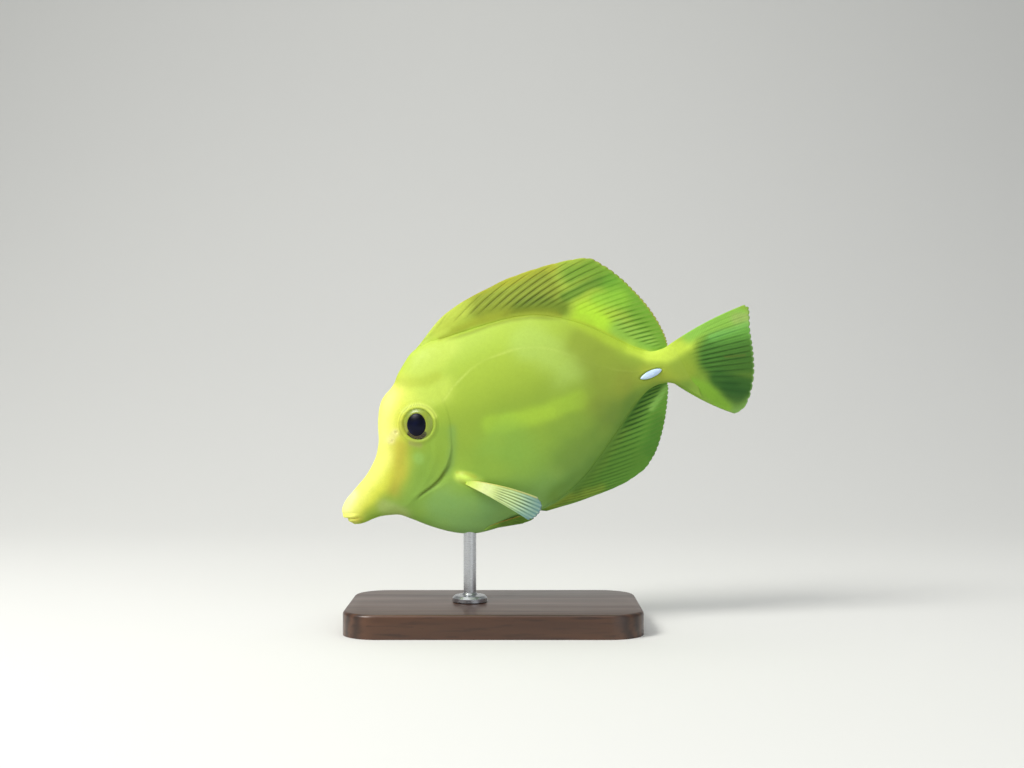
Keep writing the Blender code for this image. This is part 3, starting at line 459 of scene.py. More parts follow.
skin = {
    "pointsPerSide": 132,
    "spacing": [(-0.75, 0.06), (2.5, 0.1), (6, 0.2), (12, 0.36), (22, 0.3), (26, 0.24),
        (42, 0.24), (47, 0.34), (52, 0.8), (106, 0.8), (111, 0.36), (120, 0.4),
        (129.5, 0.4)],  # ring spacing, mm
    "roundedFrom": -0.45,  # the snout closes in a round end ahead of this
    # Where the points lie closer, round the eye and at the low end of the gill cover: x, z, reach
    # along, reach up, how much closer
    "crowds": [(33, 17.5, 10, 7.5, 1.7), (37, 1, 12, 7, 1.0)],
    "eye": (34.7, 18.8),
    "eyeOpening": 5.0,
    "eyeHollow": 3.0,
    "eyeRings": [(5.95, 0.6, 0.4), (6.75, 0.3, 0.1)],  # rim and fold: radius, width, height
    "lidCrease": (6.5, 0.14, 0.1),  # radius, width, depth
    "brow": (8.2, 1.0, 0.12),  # radius, width, height
    "lidFoldShades": [(6.5, 0.2, 1), (5.35, 0.2, 0.7), (7.3, 0.16, 0.35)],  # painted shade in the lid folds: radius, width, strength
    "gillEdge": [(-16, 15.6), (-11.5, 18.4), (-8.5, 21), (-6, 24), (-4, 27.2), (-2.6, 31.4),
        (-1.4, 34.2), (0.3, 36.8), (2, 38.9), (4, 40.6), (7, 42.4), (10, 43.4), (15, 44.7),
        (19, 45.3), (24, 45.2), (34, 43.2), (48, 40)],
    "gillFade": [(-16, 0), (-8, 0), (-5.6, 0), (-3.6, 1), (3, 0.8), (8, 0.4), (15, 0.25),
        (26, 0.1), (32, 0), (48, 0)],
    "gillStep": 0.7,
    "mouthCorner": (4.6, -4.8),
    "mouthFront": (-2.0, -3.05),
    "mouthDepth": 0.4,
    "mouthWidth": 0.22,
    # Lips and the furrows beyond them: how far above the mouth, width, height
    "lips": [(0.85, 0.48, 0.22), (-0.8, 0.42, 0.198), (1.9, 0.35, -0.1), (-1.65, 0.3, -0.1)],
    "lipBlush": (3.4, -5.3, 1.9, 0.8),  # x, z, half sizes
    "nostrils": [(24.3, 16.3, 0.42), (26.7, 18.6, 0.55)],
    "nostrilDepth": 0.3,
    "nostrilRim": 0.08,
    "finMound": (44.7, -4.4, 4.8, 2.6, 1.6, math.radians(-36)),  # x, z, half sizes, rise, turn
    "blade": (115.2, 8.0, 4.3, 1.5, 0.06),  # x, z, half length, half height, lean of its groove
    "bladeDepth": 0.5,
    "bladeRim": 0.06,
    # The tail fan swings away behind tailFrom, over tailReach, by tailSwing, all in mm
    "tailFrom": 122, "tailReach": 31, "tailSwing": 10.0,
    # Height and width of the lines below
    "lineRelief": {"cheekFurrow": (-0.22, 2.2), "cheekRidge": (0.12, 1.1),
        "lateralLine": (0.05, 0.35)},
    "cheekFurrow": [(28, 11), (25, 8), (22, 4.5), (17, -2), (11, -4), (6, -5)],
    "cheekRidge": [(38, 11), (36.5, 6), (32.5, 1), (27, -3.5), (21.5, -6)],
    "lateralLine": [(45, 23), (47.5, 24.5), (50, 26.5), (54, 28.5), (58, 30.3), (63, 31.5),
        (68, 31.8), (74, 31.7), (79, 30.6), (84, 28.5), (88, 26), (91, 23.5), (97, 18.5),
        (104, 13.5), (110, 10.5), (117, 9.5)],
    "backCrease": [(53.4, 42.6), (61.7, 42.2), (69, 42.3), (76.2, 41.7), (82.8, 40.3),
        (87.6, 38.4), (92.3, 36.3)],
}


def tailCurl(u, v):  # how far the tail fan swings away from the camera side, in mm
    lower = np.maximum(u - 0.3, 0) ** 1.6 / 0.7**1.6
    waves = 0.5 * v * np.sin(np.radians(500 * u))
    return skin["tailSwing"] * lower * np.maximum(v, 0) ** 1.7 + waves


def skinRings():  # the undecorated body as rings of points, keel, left side, back, right side
    stations = [skin["spacing"][0][0]]
    end = skin["spacing"][-1][0]
    keys, gaps = zip(*skin["spacing"])
    while stations[-1] < end - 0.15:
        stations.append(min(stations[-1] + float(np.interp(stations[-1], keys, gaps)), end))
    stations[-1] = end
    count = skin["pointsPerSide"]
    angles = np.radians(np.linspace(-90, 90, 361))
    rings = []
    for x in stations:
        level, back, belly = (float(shapeAt[key](x)) for key in ("widest", "back", "belly"))
        z = level + np.where(angles > 0, back - level, level - belly) * np.sin(angles)
        y = flankWidth(x, z)
        strip = np.linspace(0, 1, 6)[:-1]
        y = np.concatenate([y[0] * strip, y, y[-1] * strip[::-1]])
        z = np.concatenate([np.full(5, belly), z, np.full(5, back)])
        run = np.hypot(np.diff(y), np.diff(z))
        mid = (z[1:] + z[:-1]) / 2
        crowd = 1
        for crowdX, crowdZ, reachX, reachZ, more in skin["crowds"]:
            crowd = crowd + more * hill(mid - crowdZ, reachZ) * hill(x - crowdX, reachX)
        length = np.concatenate([[0], np.cumsum(run * crowd)])
        stops = np.linspace(0, length[-1], count + 1)
        y, z = np.interp(stops, length, y), np.interp(stops, length, z)
        if x < skin["roundedFrom"]:
            depth = (skin["roundedFrom"] - x) / (skin["roundedFrom"] - stations[0])
            size = math.sqrt(max(1 - depth * depth, 0))
            y, z = y * size, level + (z - level) * size
        ys = np.concatenate([-y, y[-2::-1]])
        zs = np.concatenate([z, z[-2::-1]])
        rings.append(np.stack([np.full(len(ys), x), ys, zs], -1))
    return np.array(rings)


def skinRelief(x, z):  # how far the surface stands out from the plain body, in mm
    eyeX, eyeZ = skin["eye"]
    r = np.hypot(x - eyeX, z - eyeZ)
    out = sum(height * hill(r - radius, width) for radius, width, height in skin["eyeRings"])
    radius, width, depth = skin["lidCrease"]
    out -= depth * hill(r - radius, width) * lidTurn(x, z)
    out -= skin["eyeHollow"] * step((skin["eyeOpening"] + 0.12 - r) / 0.5)
    radius, width, height = skin["brow"]
    out += height * hill(r - radius, width) * step((z - eyeZ + 2) / 6)
    behind, fade = gillPlace(x, z)
    width = 0.9 + 3 * step((z + 5) / 8)  # the step behind the gill cover widens going up
    out -= skin["gillStep"] * fade * step((behind + 0.1) / 0.6) * hill(np.maximum(behind, 0), width)
    out += 0.1 * fade * hill(behind + 0.7, 0.7)
    above, ahead = mouthPlace(x, z)
    mouth, lips = step((ahead + 0.3) / 1.6), step((ahead + 0.9) / 2.4)
    out -= skin["mouthDepth"] * mouth * hill(above, skin["mouthWidth"])
    out += lips * sum(height * hill(above - level, width) for level, width, height in skin["lips"])
    for noseX, noseZ, radius in skin["nostrils"]:
        d = np.hypot(x - noseX, z - noseZ)
        out -= skin["nostrilDepth"] * np.exp(-((d / radius) ** 4))
        out += skin["nostrilRim"] * hill(d - 1.5 * radius, 0.4)
    moundX, moundZ, length, height, rise, turn = skin["finMound"]
    along = (x - moundX) * math.cos(turn) + (z - moundZ) * math.sin(turn)
    across = (z - moundZ) * math.cos(turn) - (x - moundX) * math.sin(turn)
    d = np.hypot(along / length, across / height)
    out += rise * np.clip(1 - d**2, 0, 1) ** 1.5
    bladeX, bladeZ, length, height, lean = skin["blade"]
    ring = np.hypot((x - bladeX) / length, (z - bladeZ - lean * (x - bladeX)) / height)
    out -= skin["bladeDepth"] * step((1.08 - ring) / 0.3)
    out += skin["bladeRim"] * hill(ring - 1.28, 0.16)
    for name, (height, width) in skin["lineRelief"].items():
        out += height * hill(away(x, z, skin[name]), width)
    return out


def lidTurn(x, z):  # 1 above and behind the eye, falling to a third in front and below
    eyeX, eyeZ = skin["eye"]
    return 0.66 + 0.34 * np.cos(np.arctan2(z - eyeZ, x - eyeX) - math.radians(70))


def gillPlace(x, z):  # how far behind the gill cover's edge, and how strongly the edge shows
    edge = curve(skin["gillEdge"])
    lean = (edge(z + 0.2) - edge(z - 0.2)) / 0.4
    return (x - edge(z)) / np.sqrt(1 + lean**2), np.clip(curve(skin["gillFade"])(z), 0, 1)


def mouthPlace(x, z):  # how far above the mouth's line, and how far ahead of its corner
    cornerX, cornerZ = skin["mouthCorner"]
    slope = (skin["mouthFront"][1] - cornerZ) / (skin["mouthFront"][0] - cornerX)
    return (z - cornerZ - slope * (x - cornerX)) / math.hypot(1, slope), cornerX - x


def markSkin(piece, x, z):  # where each fine marking of the skin lies
    blushX, blushZ, length, height = skin["lipBlush"]
    mark(piece, "lipBlush", hill(np.hypot((x - blushX) / length, (z - blushZ) / height), 1))
    line = away(x, z, skin["lateralLine"])
    mark(piece, "line", hill(line, 0.32) * (0.62 + 0.38 * np.sin(x * 7.5)) * step((x - 44) / 2)
         * (0.15 + 0.85 * step((93 - x) / 14)))
    # painted shade in the crease where the front fin meets the back
    creaseShade = away(x, z, skin["backCrease"])
    mark(piece, "creaseShade", hill(creaseShade, 0.7) * step((x - 50) / 9) * step((95 - x) / 8))
    behind, fade = gillPlace(x, z)
    deep = step((3 - z) / 4)
    mark(piece, "gillShade", fade * (0.12 + 0.88 * deep)
         * hill(np.maximum(behind - 0.2, 0), 0.8 - 0.35 * deep) * step((behind + 0.15) / 0.3))
    r = np.hypot(x - skin["eye"][0], z - skin["eye"][1])
    mark(piece, "lid", hill(r - 5.75, 0.75))
    # painted shade in the folds round the eye, strongest above and behind
    lines = sum(share * hill(r - radius, width) for radius, width, share in skin["lidFoldShades"])
    mark(piece, "lidFoldShade", lidTurn(x, z) * lines)
    above, ahead = mouthPlace(x, z)
    mark(piece, "mouth", hill(above, 0.24) * step((ahead + 0.4) / 1.4))
    for name, size in (("nostril", 0.55), ("noseRim", 2.2)):
        mark(piece, name, sum(hill(np.hypot(x - noseX, z - noseZ), radius * size)
                              for noseX, noseZ, radius in skin["nostrils"]))


def makeSkinMaterial():
    material, tree, shader = startMaterial("yellowSkin", 0.5, softness=0.12, specular=0.3)
    place = fishPlace(tree)
    colour = readMark(tree, "paint", "Color")
    # Marks laid over the paint; the crease, gill and lid-fold lines are painted shade
    for name, share, shade in (
            ("noseRim", 0.25, tint(250, 238, 180)), ("line", 0.34, tint(226, 240, 130)),
            ("lid", 0.2, tint(206, 216, 84)), ("lidFoldShade", 0.55, tint(112, 126, 30)),
            ("lipBlush", 0.3, tint(240, 196, 90)), ("creaseShade", 0.5, tint(116, 124, 28)),
            ("gillShade", 0.8, tint(84, 98, 28)), ("mouth", 0.3, tint(176, 130, 50)),
            ("nostril", 0.2, tint(180, 140, 80))):
        amount = multiply(tree, readMark(tree, name), share)
        colour = blendColour(tree, amount, colour, shade)
    colour = tinge(tree, colour, noiseOf(tree, place, 0.12, 2), 0.35, 0.7, 0.08, tint(190, 214, 70))
    grain = noiseOf(tree, place, 0.8, 4)
    colour = tinge(tree, colour, grain, 0.35, 0.7, 0.07, tint(120, 146, 40))
    scales = addNode(tree, "ShaderNodeTexVoronoi", feature="F1", distance="EUCLIDEAN")
    feedAll(tree, scales, Vector=fishPlace(tree, (0.5, 0.5, 0.4)), Scale=1.0, Randomness=0.75)
    edge = rangeOf(tree, scales.outputs["Distance"], 0.25, 0.75)
    colour = blendColour(tree, multiply(tree, edge, 0.07), colour, tint(120, 150, 40))
    dress(tree, shader, colour, grain, 0.44, 0.56)
    fine = bumpFrom(tree, shader, noiseOf(tree, place, 3.0, 2), 0.00001, 0.5)
    bumpFrom(tree, shader, calculate(tree, "SUBTRACT", 1.0, edge), 0.00003, 0.5, under=fine)
    return material


def makeSkin():
    rings = skinRings()
    rows, columns = rings.shape[:2]
    around = np.roll(rings[:, :-1], -1, axis=1) - np.roll(rings[:, :-1], 1, axis=1)
    around = np.concatenate([around, around[:, :1]], axis=1)
    outwards = np.cross(np.gradient(rings, axis=0), around)
    outwards /= np.maximum(np.linalg.norm(outwards, axis=-1, keepdims=True), 1e-9)
    middle = rings.mean(axis=1, keepdims=True)
    outwards *= np.sign(((rings - middle) * outwards).sum(axis=(0, 1, 2)))
    x, z = rings[..., 0], rings[..., 2]
    shaped = rings + outwards * skinRelief(x, z)[..., None]
    share = (shapeAt["back"](x) - z) / (shapeAt["back"](x) - shapeAt["belly"](x))
    fan = x - skin["tailFrom"]
    shaped[..., 1] += np.where(fan > 0, tailCurl(share, fan / skin["tailReach"]), 0)
    sheet, across, along = startSheet("fishSkin", columns - 1, rows - 1)
    c = np.rint(across * (columns - 1)).astype(int)
    r = np.rint(along * (rows - 1)).astype(int)
    placeVertices(sheet, shaped[r, c])
    markSkin(sheet, x[r, c], z[r, c])
    spray(sheet, bodyPaint(x[r, c], z[r, c]))
    closeSeams(sheet)
    return finishPiece(sheet, "skin", makeSkinMaterial(), "head", "trunk", "tail_stalk")


makeSkin()
print("skin done")


# Fins: a sheet folded over the fin's edge, with a groove between every two rays on both faces

# A guide is (ray number, root, tip, bow, (groove from, groove to, groove depth)), its groove from
# 0 to 1 of the way out. Pairs of values are at the root and at the edge. A look is the painted
# shade in the grooves, the painted highlight on the ridges and its share, and the edge's colour and
# share.
dorsal = {
    "part": "dorsal", "perRay": 12, "rows": 60,
    "guides": [
        (0, (40.2, 42.2), (42.4, 43.6), 0, (0.3, 0.9, 0.0)),
        (1.4, (46.5, 43.8), (57, 51.9), 0.3, (0.35, 0.86, 0.25)),
        (2.7, (52, 43.7), (76, 55.3), 0.8, (0.26, 0.88, 0.6)),
        (4.0, (57.5, 43.5), (87, 55.7), 1.3, (0.24, 0.9, 0.8)),
        (5.6, (64, 43.2), (98.5, 55.0), 1.5, (0.21, 0.95, 0.9)),
        (7.4, (71, 42.9), (108, 53.2), 1.5, (0.15, 0.97, 0.95)),
        (9.6, (78.5, 42.1), (112.8, 48.8), 1.3, (0.12, 0.97, 0.85)),
        (12.3, (86, 40.0), (116.6, 43.2), 1.0, (0.14, 0.96, 0.45)),
        (15.4, (93, 36.3), (119.4, 37.6), 0.7, (0.2, 0.92, 0.35)),
        (18.9, (99.5, 31.6), (122, 31.4), 0.4, (0.3, 0.82, 0.85)),
        (22.5, (105.5, 26.1), (123.8, 24.9), 0.2, (0.22, 0.82, 1.0)),
        (26.2, (111, 20.3), (124.6, 19.0), 0.1, (0.26, 0.76, 1.0)),
        (30, (118.6, 14.4), (124.4, 14.9), 0, (0.4, 0.7, 0.2)),
    ],
    "root": 0.85, "sheath": (0.25, 1.5), "web": (0.2, 0.08), "ray": (0.26, 0.09),
    "into": (0.05, 0, -1), "notch": 0.3, "groove": (0.27, 0.25), "branch": 0.6,
    "wave": (400, 40, 0.7),
    "look": ((0.38, 0.4, 0.26), (196, 220, 104), 0.35, (196, 166, 70), 0.5),
}
anal = {
    "part": "anal", "perRay": 12, "rows": 56,
    "guides": [
        (0, (63.5, -23.3), (65.8, -24.4), 0, (0.1, 0.9, 0.1)),
        (1, (65.5, -23.0), (77, -25.0), 0.2, (0.1, 0.9, 0.4)),
        (2, (67.5, -22.7), (88, -24.9), 0.3, (0.08, 0.92, 0.6)),
        (4.4, (72.5, -21.4), (100.2, -23.0), 0.5, (0.05, 0.85, 0.5)),
        (7.2, (78.5, -19.1), (106.2, -19.6), 0.6, (0.03, 0.75, 0.45)),
        (10, (84.5, -15.9), (109.8, -15.9), 0.6, (0.03, 0.66, 0.5)),
        (12.7, (90.5, -11.9), (112.9, -11.5), 0.5, (0.03, 0.62, 0.7)),
        (15.6, (96.5, -7.5), (115.6, -6.9), 0.4, (0.03, 0.6, 0.95)),
        (18.6, (102.5, -3.0), (117.9, -2.2), 0.2, (0.03, 0.62, 1.0)),
        (21.1, (108, 0.8), (119.5, 1.4), 0.1, (0.05, 0.7, 0.9)),
        (24, (114, 4.3), (119.9, 3.9), 0, (0.1, 0.7, 0.3)),
    ],
    "root": 0.8, "sheath": (0.2, 1.5), "web": (0.2, 0.08), "ray": (0.26, 0.09),
    "into": (-0.25, 0, 1), "notch": 0.3, "groove": (0.26, 0.2), "branch": 0.6,
    "wave": (330, 200, 0.7),
    "look": ((0.34, 0.36, 0.3), (150, 180, 74), 0.25, (120, 170, 70), 0.4),
}
caudal = {
    "part": "caudal", "perRay": 14, "rows": 70,
    "guides": [
        (0, (122, 14.6), (153.8, 19.6), 1.1, (0.5, 0.9, 0.05)),
        (0.9, (122, 14.2), (154.9, 18.4), 1.1, (0.45, 0.95, 0.15)),
        (2.6, (122, 13.2), (154.4, 15.6), 0.8, (0.4, 0.97, 0.4)),
        (5.2, (122, 11.3), (152.8, 10.4), 0.4, (0.3, 0.97, 0.7)),
        (7.6, (122, 9.1), (151.9, 5.4), 0.1, (0.3, 0.98, 0.9)),
        (10, (122, 6.8), (151.0, 0.8), 0, (0.32, 0.98, 0.8)),
        (12.4, (122, 4.7), (149.7, -4.4), -0.3, (0.4, 0.9, 0.5)),
        (14.4, (122, 3.2), (147.3, -9.6), -0.6, (0.5, 0.9, 0.25)),
        (15.8, (122, 2.5), (144.9, -13.0), -0.8, (0.5, 0.9, 0.1)),
        (16.6, (122, 2.25), (141.9, -15.2), -0.9, (0.5, 0.9, 0.05)),
        (17, (122, 2.1), (139.4, -15.3), -0.9, (0.5, 0.9, 0.05)),
    ],
    "root": 1.5, "sheath": (0.36, 1.3), "web": (0.24, 0.09), "ray": (0.34, 0.12),
    "into": (-1, 0, 0), "gather": (8.4, 0.12), "notch": 0.4, "groove": (0.3, 0.24),
    "branch": 0.55, "wave": None,
    "look": ((0.32, 0.4, 0.4), (120, 186, 84), 0.25, (150, 196, 110), 0.6),
}
pectoral = {
    "part": "pectoral", "perRay": 18, "rows": 56,
    "guides": [
        (0, (43.3, -9.5, -5.9), (59.2, -18.4, -23.5), -0.3, (0.4, 0.9, 0.3)),
        (1.8, (43.6, -9.5, -5.6), (61.8, -17.8, -23.3), -0.3, (0.36, 0.92, 0.9)),
        (3.6, (43.9, -9.5, -5.3), (63.9, -16.4, -22.2), -0.4, (0.34, 0.92, 1.0)),
        (5.4, (44.2, -9.5, -5.0), (65.1, -14.6, -20.4), -0.6, (0.36, 0.9, 0.9)),
        (7, (44.5, -9.5, -4.7), (64.6, -12.9, -17.8), -0.8, (0.4, 0.9, 0.3)),
    ],
    "root": 0.9, "sheath": (0.4, 1.4), "web": (0.2, 0.08), "ray": (0.24, 0.09),
    "into": (-0.2, 1, 0.1), "notch": 0.25, "groove": (0.2, 0.3), "branch": 0.75, "wave": None,
    "look": ((0.24, 0.26, 0.22), (222, 240, 206), 0.4, (150, 180, 180), 0.5),
}
pelvic = {
    "part": "pelvic", "perRay": 12, "rows": 40,
    "guides": [
        (0, (43.4, -2.2, -23.0), (56.5, -3.6, -25.3), 0, (0.2, 0.9, 0.6)),
        (1.7, (44.3, -2.5, -22.7), (60.6, -4.5, -25.0), 0, (0.2, 0.9, 0.8)),
        (3.4, (45.2, -2.8, -22.4), (59.8, -5.1, -23.6), 0, (0.2, 0.9, 0.8)),
        (5, (46.2, -3.1, -22.1), (56.0, -5.4, -22.2), 0, (0.2, 0.9, 0.6)),
    ],
    "root": 0.6, "sheath": (0.3, 1.5), "web": (0.2, 0.08), "ray": (0.24, 0.08),
    "into": (-0.2, 0.5, 0.8), "notch": 0.25, "groove": (0.26, 0.2), "branch": 0.6, "wave": None,
    "look": ((0.4, 0.42, 0.4), (150, 180, 74), 0.2, (170, 170, 70), 0.3),
}
finSheet = {
    "reachIn": 1.3,  # mm that the root is sunk in the body
    "columnCrowd": 1.4, "rowCrowd": 0.9,  # columns lie closest in the grooves
    "edgeRound": 0.3, "endRound": 0.2,  # in mm at the outer edge, in rays at the two ends
    "forkWidth": 0.16, "forkDepth": 0.45, "ridgeWidth": 0.28,  # widths in mm
    "grooveDepth": 0.94,  # share of the ray's height
}


def mirrored(point, side):  # a point of the left side, there or on the right
    return (point[0], -side * point[1], point[2]) if len(point) == 3 else (point[0], 0, point[1])


def between(pair, share):
    return pair[0] + (pair[1] - pair[0]) * share


# The grooves carry painted shade, the ridges a painted highlight
def raisedRays(p, out, spacing, bands, fin):  # height of the ray surface, grooves, ridges, 0 to 1
    start, end, depth = bands(p).T
    groove = hill((np.abs(p - np.floor(p) - 0.5)) * spacing, between(fin["groove"], out))
    groove = groove * depth * step((out - start + 0.04) / 0.2) * step((end + 0.08 - out) / 0.2)
    aside = (p - np.rint(p)) * spacing
    fork = hill(aside, finSheet["forkWidth"]) * step((out - fin["branch"]) / 0.2)
    fork = finSheet["forkDepth"] * fork * np.minimum(depth, 0.8) * step((1.0 - out) / 0.06)
    both = np.clip(groove + fork, 0, 1)
    ridge = hill(aside, finSheet["ridgeWidth"]) * depth * step((out - start) / 0.2) * (1 - fork)
    return 1 - finSheet["grooveDepth"] * both, both, ridge


def makeFin(fin, material, slotName, side=0, flesh=None, shift=None, colours=None):
    name = fin["part"] + "Fin" + {0: "", -1: "Left", 1: "Right"}[side]
    node = fin["part"] + "_fin" + {0: "", -1: "_left", 1: "_right"}[side]
    guides = [(key, mirrored(root, side), mirrored(tip, side), bow, band)
              for key, root, tip, bow, band in fin["guides"]]
    roots, tips, bows, bands = (curve([(g[0], g[i]) for g in guides]) for i in range(1, 5))
    rays = guides[-1][0]
    half = len(guides) // 2
    flat = np.cross(np.subtract(guides[half][2], guides[half][1]),
                    np.subtract(guides[-1][1], guides[0][1]))
    flat /= np.linalg.norm(flat)

    def onFin(p, out):  # a point of the fin's middle surface
        reach = tips(p) - roots(p)
        outward = np.cross(reach, flat)
        outward /= np.linalg.norm(outward, axis=1, keepdims=True)
        bowed = outward * (bows(p) * 4 * out * (1 - out))[:, None]
        return roots(p) + reach * out[:, None] + bowed, reach

    sheet, across, w = startSheet(name, rays * fin["perRay"], 2 * fin["rows"])
    face = np.where(w < 0.5, 1.0, -1.0)
    p = across * rays
    aside = p - np.floor(p) - 0.5
    p = np.floor(p) + 0.5 + 0.5 * np.sign(aside) * np.abs(2 * aside) ** finSheet["columnCrowd"]
    p = np.clip(p, 0, rays)
    length = np.linalg.norm(tips(p) - roots(p), axis=1)
    sunk = finSheet["reachIn"] / length
    v = -sunk + (1 + sunk) * (1 - np.abs(2 * w - 1)) ** finSheet["rowCrowd"]
    out = np.clip(v, 0, 1)
    points, reach = onFin(p, out)
    run = onFin(np.minimum(p + 0.1, rays), out)[0] - onFin(np.maximum(p - 0.1, 0), out)[0]
    unit = reach / length[:, None]
    run -= unit * (run * unit).sum(axis=1, keepdims=True)
    spacing = np.maximum(np.linalg.norm(run, axis=1) / 0.2, 0.5)
    raised, groove, ridge = raisedRays(p, out, spacing, bands, fin)
    half = between(fin["web"], out) + between(fin["ray"], out) * raised
    rootHalf = flesh(p / rays) if flesh else fin["root"]
    sheathReach, sheathPower = fin["sheath"]
    half += np.maximum(rootHalf - half, 0) * np.maximum(0, 1 - out / sheathReach) ** sheathPower
    half = half * np.sqrt(np.clip((1 - out) * length / finSheet["edgeRound"], 0, 1))
    half = half * np.sqrt(np.clip(np.minimum(p, rays - p) / finSheet["endRound"], 0, 1))
    half = half * np.clip((1 - np.abs(2 * w - 1)) * 40, 0, 1)  # the root closes inside the body
    notch = step((np.abs(p - np.rint(p)) - 0.2) / 0.3) * step((out - 0.9) / 0.1)
    points -= reach * (fin["notch"] / length * notch)[:, None]
    into = np.array(mirrored(fin["into"], side) if side else fin["into"], float)
    points += into * (np.maximum(-v, 0) * length)[:, None]
    middle, share = fin.get("gather", (0, 0))  # a root drawn in to this height
    points[:, 2] += np.maximum(-v, 0) * length * share * (middle - roots(p)[:, 2])
    x, z = points[:, 0].copy(), points[:, 2].copy()
    if fin["wave"]:
        turn, start, size = fin["wave"]
        points += flat * (size * out**2 * np.sin(np.radians(turn * p / rays + start)))[:, None]
    if shift:
        points += flat * shift(p / rays, out)[:, None]
    placeVertices(sheet, points + flat * (face * half)[:, None])
    spray(sheet, colours(x, z, out, p / rays))
    mark(sheet, "groove", groove)
    mark(sheet, "ridge", ridge)
    mark(sheet, "rim", step((out * length - length + 0.55) / 0.25))
    mark(sheet, "joints", out * length)
    mark(sheet, "shown", raised * step(out / 0.2))
    closeSeams(sheet)
    return finishPiece(sheet, slotName, material, node)


def makeFinMaterial(fin):
    grooveShade, ridgeHighlight, highlightShare, rimColour, rimShare = fin["look"]
    material, tree, shader = startMaterial(fin["part"] + "Skin", 0.5, softness=0.12, specular=0.22)
    place = fishPlace(tree)
    colour = readMark(tree, "paint", "Color")
    shade = blendColour(tree, 1.0, colour, (*grooveShade, 1.0), "MULTIPLY")
    clouds, fine = noiseOf(tree, place, 0.3, 3), noiseOf(tree, place, 1.4, 4)
    for pattern in (clouds, fine):
        colour = tinge(tree, colour, pattern, 0.35, 0.7, 0.1, shade)
    uneven = rangeOf(tree, clouds, 0.3, 0.7, 0.75, 1.0)
    # painted highlight along the ray ridges, painted shade in the grooves
    for name, share, other in (("ridge", highlightShare, tint(*ridgeHighlight)), ("groove", 1.0, shade)):
        amount = multiply(tree, readMark(tree, name), share)
        colour = blendColour(tree, multiply(tree, amount, uneven), colour, other)
    amount = multiply(tree, readMark(tree, "rim"), rimShare)
    colour = blendColour(tree, amount, colour, tint(*rimColour))
    dress(tree, shader, colour, fine, 0.44, 0.58)
    turns = multiply(tree, readMark(tree, "joints"), 11.0)  # the rays' fine cross joints
    notches = multiply(tree, calculate(tree, "SINE", turns), readMark(tree, "shown"))
    under = bumpFrom(tree, shader, notches, 0.000015, 0.5)
    bumpFrom(tree, shader, noiseOf(tree, place, 4.0, 2), 0.00002, 0.5, under=under)
    return material


def medianPaint(fin):  # the body's paint at the root, painted light and shade included, the fin's further out
    def paint(x, z, out, along):
        body = bodyPaint(x, z)
        return body + (sprayed(body, x, z, airbrush[fin["part"]]) - body) * step(out / 0.1)[:, None]
    return paint


def lengthPaint(stops, upperEdge):  # colours from the root out, and one along the leading ray
    def paint(x, z, out, along):
        colour = curve([(place, tint(*shade)) for place, shade in stops])(out)
        share = 0.6 * step((along - 0.9) / 0.06)
        return colour + (np.array(tint(*upperEdge)) - colour) * share[:, None]
    return paint


def tailFlesh(u):  # half the thickness of the tail's root, from its upper to its lower end
    return 0.35 + 1.2 * np.sqrt(np.clip(1 - (2 * u - 1) ** 2, 0, 1))


def makeFins():
    tailExtras = {"shift": tailCurl, "flesh": tailFlesh}
    for fin, extras in ((dorsal, {}), (anal, {}), (caudal, tailExtras)):
        makeFin(fin, makeFinMaterial(fin), "fin", colours=medianPaint(fin), **extras)
    pectoralLook, pelvicLook = makeFinMaterial(pectoral), makeFinMaterial(pelvic)
    pectoralPaint = lengthPaint([(0, (204, 230, 94)), (0.12, (220, 238, 128)),
                                 (0.22, (222, 234, 156)), (0.4, (202, 220, 138)),
                                 (0.65, (178, 204, 134)), (0.82, (128, 166, 140)),
                                 (1, (82, 122, 126))], (214, 200, 90))
    pelvicPaint = lengthPaint([(0, (130, 170, 70)), (0.5, (112, 152, 52)), (1, (104, 146, 50))],
                              (176, 112, 44))
    for side in (-1, 1):
        makeFin(pectoral, pectoralLook, "pale_fin", side, colours=pectoralPaint)
        makeFin(pelvic, pelvicLook, "fin", side, colours=pelvicPaint)


makeFins()
print("fins done")


# Eyes: an iris ball with a dish, and a domed pupil in it

eye = {
    "at": skin["eye"], "radius": 6.3, "depth": 3.4, "bulge": 1.5,
    "pupil": (3.3, 3.85),  # half across, half upright
    "pupilOffset": (-0.4, -0.1), "pupilProud": 0.25, "pupilBack": 1.2,
    "dish": 0.22, "dishEdge": 1.12, "sunk": 0.6,  # share of the dish that the pupil sits in
    "iris": (146, 162, 50),
}


def eyeTurn(side):  # centre of the eyeball, the way it looks, and the turn that faces it there
    x, z = eye["at"]
    outward = flankNormal(x, z, side)
    skinPoint = Vector((x, side * float(flankWidth(x, z)), z))
    centre = skinPoint + outward * (eye["bulge"] - eye["depth"])
    up = Vector((math.sin(pose["pitch"]), 0, math.cos(pose["pitch"])))  # upright in the photo
    up = (up - outward * up.dot(outward)).normalized()
    return centre, outward, up, up.cross(outward)


